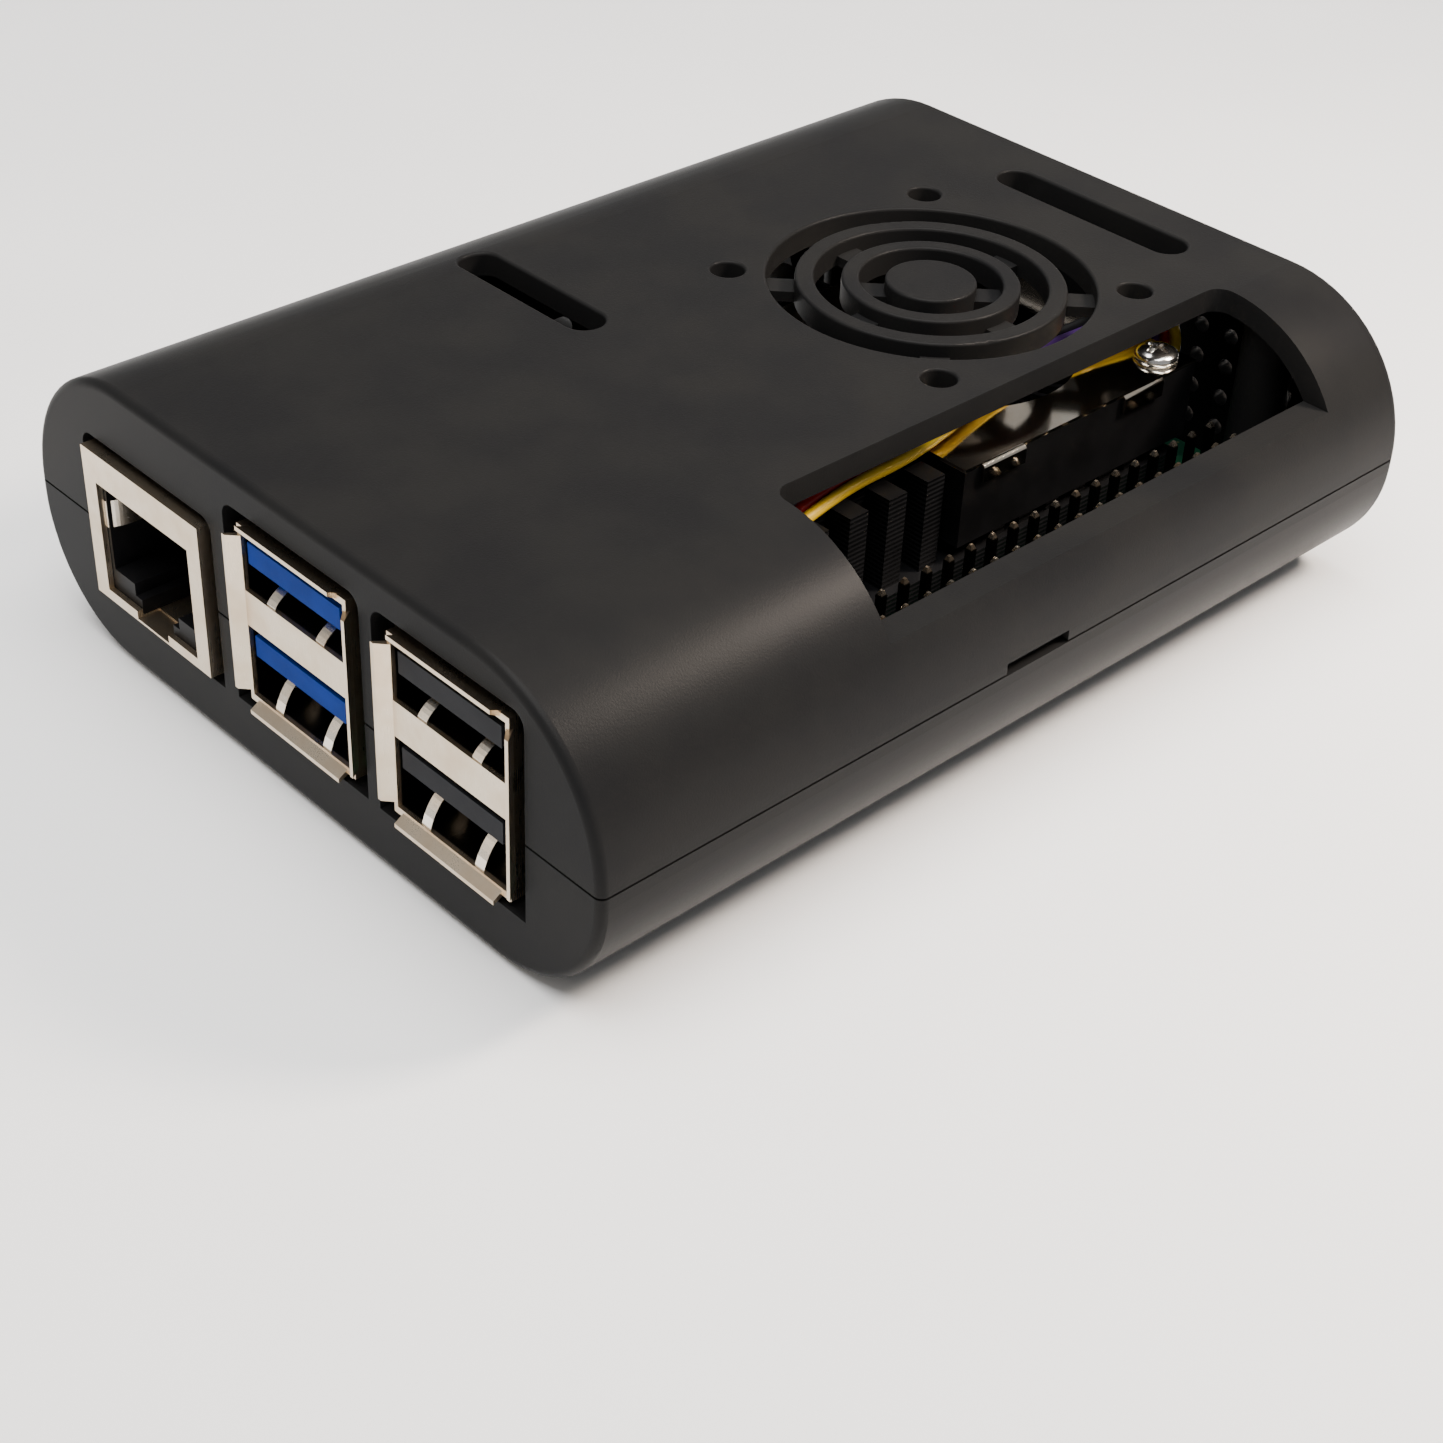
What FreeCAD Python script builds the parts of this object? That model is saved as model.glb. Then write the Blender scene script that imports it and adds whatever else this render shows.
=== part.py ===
import FreeCAD, Part
import math
import os
import Sketcher
from FreeCAD import Placement, Rotation, Vector

# A single board computer in its two-piece moulded case, with a blower cooler on the processor.
# X runs along the case towards the network and USB ports, Y across it towards the pin header, and Z up.
# The origin is under the middle of the whole, on the surface that it stands on. Sizes are in millimetres.

doc = FreeCAD.newDocument("single_board_computer")
sheet = doc.addObject("Spreadsheet::Sheet", "Sizes")

CASE = {
    "case_length": 90.0, "case_width": 69.4, "case_height": 25.6, "parting_height": 12.2,
    "case_wall": 2.1, "end_wall": 2.0, "end_gap": 0.6, "bottom_radius": 11.0, "end_rounding": 0.7,
    "foot_proud": 0.4, "foot_radius": 4.0, "foot_inset": 9.5, "seam_gap": 0.2, "seam_depth": 0.8,
    "edge_rounding": 0.25, "port_proud": 0.7, "port_gap": 0.8, "fit_gap": 0.2,
    "post_radius": 2.4, "post_height": 2.3,
    "peg_radius": 1.25, "peg_reach": 1.3, "post_root": 0.3,
    "lip_length": 70.0, "lip_thickness": 1.0, "lip_rise": 1.4, "lip_root": 4.2,
    "fan_spacing": 24.0, "fan_hole": 2.9, "fan_from_left": 27.6, "fan_from_middle": 4.3,
    "grille_rim": 27.6, "ring_one_outer": 22.8, "ring_one_inner": 19.6, "ring_two_outer": 15.0,
    "ring_two_inner": 12.0, "grille_hub": 7.7, "spoke_width": 2.4, "spoke_drop": 1.2,
    "slot_width": 3.6, "slot_one_along": 54.8, "slot_one_low": -23.4, "slot_one_high": -6.6,
    "slot_two_along": 6.5, "slot_two_low": -6.5, "slot_two_high": 14.2,
    "window_start": 9.3, "window_end": 61.6, "window_low": 20.2, "window_sill": 19.0, "window_round": 1.6,
    "notch_start": 43.2, "notch_length": 7.0, "notch_rise": 0.9, "notch_depth": 1.2,
    "vent_pitch_across": 3.2, "vent_pitch_up": 3.0, "vent_size": 1.5, "vent_first": 8.3,
    "relief_radius": 3.0, "relief_depth": 1.2,
}
BOARD = {
    "board_length": 85.0, "board_width": 56.0, "board_thickness": 1.4, "board_corner": 3.0,
    "board_shift": -0.3, "board_hole": 2.7, "hole_inset": 3.5, "hole_run": 58.0, "hole_rise": 49.0,
    "header_pitch": 2.54, "header_across": 3.5, "header_along": 32.5, "header_base": 2.5,
    "pin_width": 0.64, "pin_height": 8.5,
    "chip_along": 29.0, "chip_across": 33.5, "chip_size": 17.0, "chip_height": 1.0, "lid_size": 14.0,
    "lid_height": 1.4, "memory_along": 43.4, "memory_across": 33.4, "memory_width": 10.0,
    "memory_length": 14.5, "memory_height": 0.9, "controller_along": 55.5, "controller_across": 35.0,
    "controller_size": 10.5, "controller_height": 1.2, "power_chip_along": 15.2,
    "power_chip_across": 22.5, "power_chip_size": 6.0, "power_chip_height": 0.9, "can_along": 12.0,
    "can_across": 41.5, "can_length": 12.0, "can_width": 9.6, "can_height": 1.6,
}
PORTS = {
    "jack_across": 10.2, "jack_width": 16.0, "jack_height": 13.5, "jack_depth": 21.3,
    "jack_opening_width": 12.6, "jack_opening_low": 0.9, "jack_opening_high": 10.8, "jack_cavity": 12.5,
    "latch_sill": 0.2, "insert_gap": 0.05, "plug_wall": 0.4, "cavity_floor": 1.9, "step_floor": 0.8,
    "step_width": 6.2, "jack_contact_pitch": 1.02, "jack_contact_width": 0.4, "jack_contact_drop": 1.25,
    "jack_contact_length": 7.0, "latch_width": 4.4, "shield_sheet": 0.35,
    "usb_three_across": 29.1, "usb_two_across": 47.0,
    "usb_width": 13.2, "usb_height": 15.7, "usb_depth": 17.4, "usb_opening_width": 12.4,
    "usb_opening_height": 5.1, "usb_lower_opening": 0.75, "usb_lower_height": 6.35,
    "usb_upper_opening": 10.2,
    "usb_flare": 0.85, "usb_flare_depth": 0.8, "usb_end_flare": 0.5, "lip_overlap": 0.4,
    "lip_corner": 1.0, "usb_lift": 0.15, "tongue_thickness": 1.85, "tongue_width": 11.2,
    "contact_pitch": 2.3, "contact_width": 1.0, "contact_sheet": 0.15,
    "tongue_drop": 0.7, "tongue_setback": 0.95, "usb_block": 4.5, "usb_c_along": 11.2,
    "usb_c_width": 8.94, "usb_c_height": 3.2, "usb_c_depth": 7.3, "usb_c_proud": 1.2,
    "hdmi_first": 25.8, "hdmi_second": 39.2, "hdmi_width": 6.5, "hdmi_height": 3.0, "hdmi_depth": 7.6,
    "hdmi_proud": 0.9, "plug_clearance": 2.2,
    "camera_first": 48.0, "camera_second": 54.0, "camera_low": 1.0, "camera_length": 15.2,
    "camera_width": 3.0, "camera_height": 2.2, "latch_height": 0.6,
    "cable_slot": 0.5, "cable_slot_ends": 1.6, "cable_slot_floor": 0.6, "lid_gap": 0.02, "lid_inset": 0.2,
    "flat_along": 2.6, "flat_across": 30.5, "flat_length": 11.0, "flat_width": 3.0, "flat_height": 1.4,
    "key_across": 18.2, "key_radius": 1.6, "key_gap": 0.1, "key_flange": 2.4, "key_up": 1.6, "key_sunk": 0.3,
    "switch_back": 0.6, "switch_length": 2.6, "switch_width": 4.4, "switch_height": 3.0, "cap_radius": 0.75,
    "cap_length": 1.2, "flange_height": 3.4,
    "light_across": 12.2, "card_across": 28.0, "card_width": 11.0, "card_length": 15.0,
    "card_thickness": 0.7, "card_out": 2.3, "card_gap": 0.12, "card_room": 0.6,
    "light_hole_up": 1.0, "light_hole": 0.9,
    "thumb_depth": 2.9, "thumb_round": 1.6, "socket_wall": 0.25,
    "fan_socket_along": 67.6, "fan_socket_across": 46.0, "fan_socket_width": 2.9,
    "fan_socket_length": 6.0, "fan_socket_height": 4.2, "small_socket_height": 3.4,
    "socket_side": 0.45, "fan_socket_floor": 1.4, "small_socket_across": 3.0, "small_socket_depth": 4.0,
    "clock_along": 18.6, "clock_length": 4.0, "debug_along": 32.5, "debug_length": 5.0,
    "poe_along": 63.0, "poe_across": 11.5,
}
COOLER = {
    "base_low": 2.9, "base_thickness": 2.0, "base_start": 9.0, "base_end": 65.1, "base_bottom": 12.0,
    "base_top": 48.6, "base_inner": 22.8, "notch_first": 31.0, "notch_second": 43.5, "low_fins": 7,
    "low_fin_pitch": 3.4, "low_fin_width": 1.6, "low_fin_height": 1.5, "pin_rows": 5, "pin_columns": 6,
    "pin_row_pitch": 4.3, "pin_column_pitch": 4.4, "pin_fin_length": 2.0, "pin_fin_width": 2.6,
    "pin_fin_height": 8.3, "pin_fin_along": 38.7, "pin_fin_across": 23.1,
    "blower_along": 23.1, "blower_across": 34.3, "blower_size": 29.0, "blower_height": 6.9,
    "blower_floor": 0.8, "scroll_radius": 12.9, "outlet_width": 21.0,
    "plate_sheet": 0.3, "plate_bend": 0.15, "inlet": 21.0,
    "tab_length": 5.0, "tab_drop": 1.6, "tab_from_corner": 1.8,
    "screw_inset": 2.4, "screw_radius": 0.95, "screw_head": 1.9, "screw_head_height": 1.1,
    "screw_length": 5.0, "hub_radius": 6.9, "hub_height": 5.3, "hub_sheet": 0.8, "blade_count": 28,
    "blade_inner": 8.2, "blade_outer": 11.6, "blade_height": 4.3, "blade_thickness": 0.5,
    "disc_thickness": 0.6, "rotor_gap": 0.3, "magnet_thickness": 0.9, "shaft_radius": 0.5,
    "shaft_gap": 0.03, "bearing_radius": 1.3, "tube_radius": 2.0, "stator_radius": 4.7,
    "stator_height": 2.2, "stem_one_along": 6.8, "stem_one_across": 15.0, "stem_two_along": 61.8,
    "stem_two_across": 45.6, "stem_radius": 1.3, "stem_gap": 0.3, "stem_head": 2.7,
    "stem_head_height": 1.8, "stem_head_low": 9.4, "barb_radius": 1.9, "barb_length": 1.8,
    "barb_gap": 0.05, "ear_radius": 3.3, "spring_radius": 2.1, "spring_wire": 0.22, "spring_turns": 5,
    "wire_diameter": 1.0, "wire_pitch": 1.12,
}
SIZES = {**CASE, **BOARD, **PORTS, **COOLER}


class Size:
    """A length with its number and its expression text, so that one formula gives both."""

    def __init__(self, number, text):
        self.number = float(number)
        self.text = text

    def __add__(self, other):
        other = as_size(other)
        return Size(self.number + other.number, "(%s + %s)" % (self.text, other.text))

    def __sub__(self, other):
        other = as_size(other)
        return Size(self.number - other.number, "(%s - %s)" % (self.text, other.text))

    def __mul__(self, other):
        other = as_size(other)
        return Size(self.number * other.number, "(%s * %s)" % (self.text, other.text))

    def __truediv__(self, other):
        other = as_size(other)
        return Size(self.number / other.number, "(%s / %s)" % (self.text, other.text))

    def __radd__(self, other):
        return as_size(other) + self

    def __rsub__(self, other):
        return as_size(other) - self

    def __rmul__(self, other):
        return as_size(other) * self

    def __neg__(self):
        return Size(-self.number, "(0 - %s)" % self.text)


def as_size(value):
    """A plain number becomes a Size of that number."""
    if isinstance(value, Size):
        return value
    return Size(value, "%.9g" % value if value >= 0 else "(0 - %.9g)" % -value)


def root(value):
    """The square root of a Size."""
    return Size(math.sqrt(value.number), "sqrt(%s)" % value.text)


class Named:
    """Every named size of the sheet, as a Size that points at its cell."""

    def __init__(self, values):
        for row, (name, value) in enumerate(values.items(), 1):
            sheet.set("A%d" % row, name)
            sheet.set("B%d" % row, "%.9g" % value)
            sheet.setAlias("B%d" % row, name)
            setattr(self, name, Size(value, "Sizes.%s" % name))


s = Named(SIZES)
doc.recompute()

# Places that the rest is measured from.
case_left = -(s.case_length + s.port_proud) / 2
case_right = case_left + s.case_length
board_left = case_left + s.end_wall + s.end_gap
board_low = s.board_shift - s.board_width / 2
shell_low = s.foot_proud
shell_top = shell_low + s.case_height
parting = shell_low + s.parting_height
floor_top = shell_low + s.case_wall
board_under = floor_top + s.post_height
board_top = board_under + s.board_thickness
upper_radius = s.case_height - s.parting_height


def at(along, across, up):
    """A point given from the board's left end, its lower edge and its top face."""
    return (board_left + along, board_low + across, board_top + up)


# ---------------------------------------------------------------- building blocks


def bind(obj, prop, value):
    """Ties one property to the sheet."""
    obj.setExpression(prop, as_size(value).text)


def move(obj, place):
    """Ties an object's place to the sheet."""
    for axis, value in zip("xyz", place):
        bind(obj, "Placement.Base.%s" % axis, value)
    return obj


def block(name, corner, size):
    """A box from its low corner and its three sizes."""
    obj = doc.addObject("Part::Box", name)
    for prop, value in zip(("Length", "Width", "Height"), size):
        bind(obj, prop, value)
    return move(obj, corner)


def centred(name, place, size):
    """A box centred across the point that its base stands on."""
    corner = (place[0] - size[0] / 2, place[1] - size[1] / 2, place[2])
    return block(name, corner, size)


TURNS = {"Z": Rotation(), "X": Rotation(Vector(0, 1, 0), 90), "Y": Rotation(Vector(1, 0, 0), -90)}


def rod(name, place, radius, length, axis="Z"):
    """A cylinder along an axis, from the middle of its first face."""
    obj = doc.addObject("Part::Cylinder", name)
    obj.Placement = Placement(Vector(), TURNS[axis])
    bind(obj, "Radius", radius)
    bind(obj, "Height", length)
    return move(obj, place)


def cone(name, place, low_radius, high_radius, length):
    """A cone along Z from the middle of its lower face."""
    obj = doc.addObject("Part::Cone", name)
    bind(obj, "Radius1", low_radius)
    bind(obj, "Radius2", high_radius)
    bind(obj, "Height", length)
    return move(obj, place)


def join(name, pieces):
    """Pieces that touch, made one solid."""
    obj = doc.addObject("Part::MultiFuse", name)
    obj.Shapes = pieces
    obj.Refine = True
    return obj


def gather(name, pieces):
    """Separate solids kept in one object."""
    obj = doc.addObject("Part::Compound", name)
    obj.Links = pieces
    return obj


def cut(name, base, tools):
    """A base with tools taken out of it."""
    obj = doc.addObject("Part::Cut", name)
    obj.Base = base
    obj.Tool = tools[0] if len(tools) == 1 else gather(name + "_tools", tools)
    obj.Refine = True
    return obj


def body(name, place=None):
    """A PartDesign body, at a place that the sheet gives."""
    obj = doc.addObject("PartDesign::Body", name)
    if place is not None:
        move(obj, place)
    return obj


def draw(owner, role, lift, loops):
    """A sketch on one of the body's own planes, lifted along its normal, with closed loops in it.

    A loop is ("circle", u, v, radius) or a list of corners (u, v, r). The edge that leaves a corner is
    straight where r is None, and an arc of radius |r| elsewhere, turning left where r is positive.
    """
    sketch = owner.newObject("Sketcher::SketchObject", "%s_sketch" % owner.Name)
    plane = [f for f in owner.Origin.OriginFeatures if f.Role == role][0]
    sketch.AttachmentSupport = [(plane, "")]
    sketch.MapMode = "FlatFace"
    bind(sketch, "AttachmentOffset.Base.z", lift)
    names = []
    for loop in loops:
        if loop[0] == "circle":
            names += draw_circle(sketch, *[as_size(v) for v in loop[1:]])
        else:
            names += draw_corners(sketch, loop)
    for index, value in names:
        sketch.setExpression("Constraints[%d]" % index, value.text)
    return sketch


def pin_point(sketch, geo, pos, u, v):
    """Ties one point of a sketch to its two coordinates."""
    found = []
    for kind, value in (("DistanceX", u), ("DistanceY", v)):
        index = sketch.addConstraint(Sketcher.Constraint(kind, -1, 1, geo, pos, value.number))
        found.append((index, value))
    return found


def draw_circle(sketch, u, v, radius):
    """One circle, with its middle and radius tied."""
    middle = Vector(u.number, v.number, 0)
    geo = sketch.addGeometry(Part.Circle(middle, Vector(0, 0, 1), radius.number), False)
    found = pin_point(sketch, geo, 3, u, v)
    index = sketch.addConstraint(Sketcher.Constraint("Radius", geo, radius.number))
    return found + [(index, radius)]


def draw_corners(sketch, corners):
    """One closed loop of lines and arcs, with every corner tied."""
    points = [(as_size(c[0]), as_size(c[1])) for c in corners]
    found = []
    first = None
    previous = None
    for k, corner in enumerate(corners):
        start = Vector(points[k][0].number, points[k][1].number, 0)
        end_point = points[(k + 1) % len(points)]
        end = Vector(end_point[0].number, end_point[1].number, 0)
        bend = corner[2] if len(corner) > 2 else None
        if bend is None:
            geo = sketch.addGeometry(Part.LineSegment(start, end), False)
            head, tail = 1, 2
        else:
            radius = as_size(bend).number
            chord = end - start
            half = chord.Length / 2
            height = math.sqrt(max(radius * radius - half * half, 0.0))
            side = Vector(-chord.y, chord.x, 0).normalize() * (height if radius > 0 else -height)
            middle = (start + end) / 2 + side
            circle = Part.Circle(middle, Vector(0, 0, 1), abs(radius))
            first_point, last_point = (start, end) if radius > 0 else (end, start)
            angle = math.atan2(first_point.y - middle.y, first_point.x - middle.x)
            other = math.atan2(last_point.y - middle.y, last_point.x - middle.x)
            other = other + 2 * math.pi if other < angle else other
            geo = sketch.addGeometry(Part.ArcOfCircle(circle, angle, other), False)
            head, tail = (1, 2) if radius > 0 else (2, 1)
            size = as_size(bend) if radius > 0 else -as_size(bend)
            found.append((sketch.addConstraint(Sketcher.Constraint("Radius", geo, size.number)), size))
        found += pin_point(sketch, geo, head, *points[k])
        if previous is not None:
            sketch.addConstraint(Sketcher.Constraint("Coincident", previous[0], previous[1], geo, head))
        else:
            first = (geo, head)
        previous = (geo, tail)
    sketch.addConstraint(Sketcher.Constraint("Coincident", previous[0], previous[1], first[0], first[1]))
    return found


def pad(owner, sketch, length, reverse=False):
    """Material pushed out of a sketch."""
    feature = owner.newObject("PartDesign::Pad", "%s_pad" % owner.Name)
    feature.Profile = sketch
    feature.Reversed = reverse
    bind(feature, "Length", length)
    return check_grows(owner, feature, 1)


def pocket(owner, sketch, depth, reverse=False):
    """Material taken out behind a sketch, or before it where reverse is true."""
    feature = owner.newObject("PartDesign::Pocket", "%s_pocket" % owner.Name)
    feature.Profile = sketch
    feature.Reversed = reverse
    bind(feature, "Length", depth)
    return check_grows(owner, feature, -1)


def check_grows(owner, feature, sign):
    """Stops the build where a feature did nothing, or worked the wrong way."""
    base = feature.BaseFeature
    doc.recompute()
    before = base.Shape.Volume if base is not None else 0.0
    change = (feature.Shape.Volume - before) * sign
    if change <= 1e-6:
        raise RuntimeError("%s of %s changed nothing" % (feature.Name, owner.Label))
    owner.Tip = feature
    return feature


def round_edges(owner, choose, radius):
    """Fillets the edges of the body's tip that choose picks."""
    tip = owner.Tip
    names = ["Edge%d" % (k + 1) for k, edge in enumerate(tip.Shape.Edges) if choose(edge)]
    feature = owner.newObject("PartDesign::Fillet", "%s_fillet" % owner.Name)
    feature.Base = (tip, names)
    bind(feature, "Radius", radius)
    doc.recompute()
    owner.Tip = feature
    return feature


def rectangle(u_low, v_low, u_high, v_high):
    """The four corners of a rectangle."""
    return [(u_low, v_low), (u_high, v_low), (u_high, v_high), (u_low, v_high)]


def rounded(u_low, v_low, u_high, v_high, radius):
    """A rectangle whose corners are arcs."""
    u_a, u_b = as_size(u_low), as_size(u_high)
    v_a, v_b = as_size(v_low), as_size(v_high)
    return [
        (u_a + radius, v_a), (u_b - radius, v_a, radius), (u_b, v_a + radius), (u_b, v_b - radius, radius),
        (u_b - radius, v_b), (u_a + radius, v_b, radius), (u_a, v_b - radius), (u_a, v_a + radius, radius),
    ]


def stadium(u, v_low, v_high, width):
    """A slot with round ends along V."""
    half = width / 2
    low, high = as_size(v_low) + half, as_size(v_high) - half
    return [(u + half, low), (u + half, high, half), (u, high + half, half), (u - half, high),
            (u - half, low, half), (u, low - half, half)]


def sector(u, v, inner, outer, start, end, spoke):
    """The gap of a round grille between two spokes, whose sides stand half a spoke from their axes."""
    half = spoke / 2
    corners = []
    for radius, angle, side in ((outer, start, 1), (outer, end, -1), (inner, end, -1), (inner, start, 1)):
        reach = root(radius * radius - half * half)
        c, d = math.cos(math.radians(angle)), math.sin(math.radians(angle))
        corners.append((u + reach * c - half * (side * d), v + reach * d + half * (side * c)))
    return [corners[0] + (outer,), corners[1], corners[2] + (-inner,), corners[3]]


# ---------------------------------------------------------------- case


def board_holes():
    """The four mounting holes of the board, as (along, across)."""
    for k in range(2):
        for j in range(2):
            yield (s.hole_inset + s.hole_run * k, s.hole_inset + s.hole_rise * j)


def port_openings(low, high):
    """The ports' openings in the right end wall between two heights, as loops on the YZ plane."""
    loops = []
    heights = [("jack", s.jack_across, s.jack_width, s.jack_height)]
    usb_width = s.usb_width + 2 * s.usb_flare
    usb_height = s.usb_height + s.usb_flare * 0.6
    heights.append(("usb", s.usb_three_across, usb_width, usb_height))
    heights.append(("usb", s.usb_two_across, usb_width, usb_height))
    for kind, across, width, height in heights:
        middle = board_low + across
        reach = width / 2 + s.port_gap
        top = board_top + height + s.port_gap
        bottom = board_top - s.port_gap if kind == "jack" else board_top + 0.2 - s.port_gap
        if high is None:
            curve = as_size(1.2)
            loops.append([
                (middle - reach, low), (middle + reach, low), (middle + reach, top - curve, curve),
                (middle + reach - curve, top), (middle - reach + curve, top, curve),
                (middle - reach, top - curve),
            ])
        else:
            loops.append(rectangle(middle - reach, bottom, middle + reach, high))
    return loops


def vents(rows, columns):
    """Round vent holes of the left end wall, as loops on the YZ plane."""
    loops = []
    for row in rows:
        for column in columns:
            across = s.vent_pitch_across * (column + 0.5)
            up = shell_low + s.vent_first + s.vent_pitch_up * row
            loops.append(("circle", across, up, s.vent_size / 2))
    return loops


def top_cover():
    """The upper shell: a rounded channel with closed ends, a fan grille, slots and the header window."""
    part = body("top_cover")
    half = s.case_width / 2
    flat = half - upper_radius
    outline = [
        (-half, parting), (half, parting, upper_radius), (flat, shell_top),
        (-flat, shell_top, upper_radius),
    ]
    pad(part, draw(part, "YZ_Plane", case_left, [outline]), s.case_length)
    ends = (case_left.number, case_right.number)
    low = parting.number

    def on_end(edge):
        box = edge.BoundBox
        flat_edge = any(abs(box.XMin - x) < 1e-4 and abs(box.XMax - x) < 1e-4 for x in ends)
        return flat_edge and box.ZMax > low + 1e-3

    round_edges(part, on_end, s.end_rounding)
    inner = upper_radius - s.case_wall
    hollow = [
        (-(half - s.case_wall), parting), (half - s.case_wall, parting, inner),
        (flat, shell_top - s.case_wall), (-flat, shell_top - s.case_wall, inner),
    ]
    inside = draw(part, "YZ_Plane", case_left + s.end_wall, [hollow])
    pocket(part, inside, s.case_length - 2 * s.end_wall, reverse=True)
    posts = []
    for along, across in board_holes():
        x, y, z = at(along, across, 0)
        posts.append(("circle", x, y, s.post_radius))
    low_face = board_top + s.fit_gap
    roof = shell_top - s.case_wall + s.post_root
    pad(part, draw(part, "XY_Plane", low_face, posts), roof - low_face)
    bores = []
    for along, across in board_holes():
        x, y, z = at(along, across, 0)
        bores.append(("circle", x, y, s.peg_radius + s.fit_gap))
    pocket(part, draw(part, "XY_Plane", low_face, bores), s.peg_reach + 1.0, reverse=True)
    fan_x = case_left + s.fan_from_left
    fan_y = s.fan_from_middle
    radii = (s.grille_rim, s.ring_one_outer, s.ring_one_inner, s.ring_two_outer, s.ring_two_inner,
             s.grille_hub)
    rings = [("circle", fan_x, fan_y, radius / 2) for radius in radii]
    pocket(part, draw(part, "XY_Plane", shell_top, rings), s.spoke_drop)
    gaps = []
    for pair, start in ((0, 45), (2, 0), (4, 45)):
        for k in range(4):
            gaps.append(sector(fan_x, fan_y, radii[pair + 1] / 2, radii[pair] / 2, start + 90 * k,
                               start + 90 * (k + 1), s.spoke_width))
    reach = s.fan_spacing / 2
    openings = gaps
    openings += [("circle", fan_x + reach * i, fan_y + reach * j, s.fan_hole / 2)
                 for i in (-1, 1) for j in (-1, 1)]
    openings.append(stadium(case_left + s.slot_one_along, s.slot_one_low, s.slot_one_high, s.slot_width))
    openings.append(stadium(case_left + s.slot_two_along, s.slot_two_low, s.slot_two_high, s.slot_width))
    through = s.case_wall + 2.4
    pocket(part, draw(part, "XY_Plane", shell_top, openings), through)
    r = s.window_round
    x_a, x_b = case_left + s.window_start, case_left + s.window_end
    y_a, y_b = s.window_low, half + 1
    window = [(x_a + r, y_a), (x_b - r, y_a, r), (x_b, y_a + r), (x_b, y_b), (x_a, y_b), (x_a, y_a + r, r)]
    pocket(part, draw(part, "XY_Plane", shell_top, [window]), shell_top - (shell_low + s.window_sill))
    ports = port_openings(parting - 0.5, None)
    pocket(part, draw(part, "YZ_Plane", case_right, ports), s.end_wall + 0.2)
    holes = vents((2, 3), range(-9, 9))
    pocket(part, draw(part, "YZ_Plane", case_left + s.end_wall, holes), s.end_wall + 0.2)
    low_x = case_left + s.notch_start
    pry = rectangle(low_x, parting - 0.5, low_x + s.notch_length, parting + s.notch_rise)
    pocket(part, draw(part, "XZ_Plane", -half, [pry]), s.notch_depth, reverse=True)
    top = shell_top.number
    reach = flat.number - 0.01

    def on_top(edge):
        box = edge.BoundBox
        level = abs(box.ZMin - top) < 1e-4 and abs(box.ZMax - top) < 1e-4
        return level and max(abs(box.YMin), abs(box.YMax)) < reach and box.YMax < s.window_low.number - 0.01

    round_edges(part, on_top, s.edge_rounding)
    return part


def bottom_shell():
    """The lower shell: a rounded tray with board posts, pegs, a locating lip and the port openings."""
    part = body("bottom_shell")
    half = s.case_width / 2
    flat = half - s.bottom_radius
    outline = [
        (-flat, shell_low), (flat, shell_low, s.bottom_radius), (half, shell_low + s.bottom_radius),
        (half, parting), (-half, parting), (-half, shell_low + s.bottom_radius, s.bottom_radius),
    ]
    pad(part, draw(part, "YZ_Plane", case_left, [outline]), s.case_length)
    ends = (case_left.number, case_right.number)
    high = parting.number

    def on_end(edge):
        box = edge.BoundBox
        flat_edge = any(abs(box.XMin - x) < 1e-4 and abs(box.XMax - x) < 1e-4 for x in ends)
        return flat_edge and box.ZMin < high - 1e-3

    round_edges(part, on_end, s.end_rounding)
    wall = s.case_wall
    inner = s.bottom_radius - wall
    hollow = [
        (-flat, floor_top), (flat, floor_top, inner), (half - wall, shell_low + s.bottom_radius),
        (half - wall, parting), (wall - half, parting), (wall - half, shell_low + s.bottom_radius, inner),
    ]
    inside = draw(part, "YZ_Plane", case_left + s.end_wall, [hollow])
    pocket(part, inside, s.case_length - 2 * s.end_wall, reverse=True)
    posts = []
    pegs = []
    for along, across in board_holes():
        x, y, z = at(along, across, 0)
        posts.append(("circle", x, y, s.post_radius))
        pegs.append(("circle", x, y, s.peg_radius))
    pad(part, draw(part, "XY_Plane", floor_top - 0.5, posts), s.post_height + 0.5)
    pad(part, draw(part, "XY_Plane", board_under - 0.5, pegs), s.board_thickness + s.peg_reach + 0.5)
    face = half - wall - s.fit_gap
    back = face - s.lip_thickness
    low = parting - s.lip_root
    top = parting + s.lip_rise
    lips = []
    for sign in (1, -1):
        corners = [(back, low), (half - wall / 2, low), (half - wall / 2, parting - 0.01),
                   (face, parting), (face, top), (back, top)]
        lips.append([(u * sign, v) for u, v in corners])
    pad(part, draw(part, "YZ_Plane", -s.lip_length / 2, lips), s.lip_length)
    ports = port_openings(None, parting + 0.5)
    pocket(part, draw(part, "YZ_Plane", case_right, ports), s.end_wall + 0.2)
    side_ports(part, half)
    left_end(part)
    groove = s.seam_depth
    outer = rectangle(case_left - 1, -half - 1, case_right + 1, half + 1)
    inner_edge = rounded(case_left + groove, groove - half, case_right - groove, half - groove, as_size(0.5))
    pocket(part, draw(part, "XY_Plane", parting, [outer, inner_edge]), s.seam_gap)
    reliefs = []
    for along, across in stems():
        x, y, z = at(along, across, 0)
        reliefs.append(("circle", x, y, s.relief_radius))
    pocket(part, draw(part, "XY_Plane", floor_top, reliefs), s.relief_depth)
    return part


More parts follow.
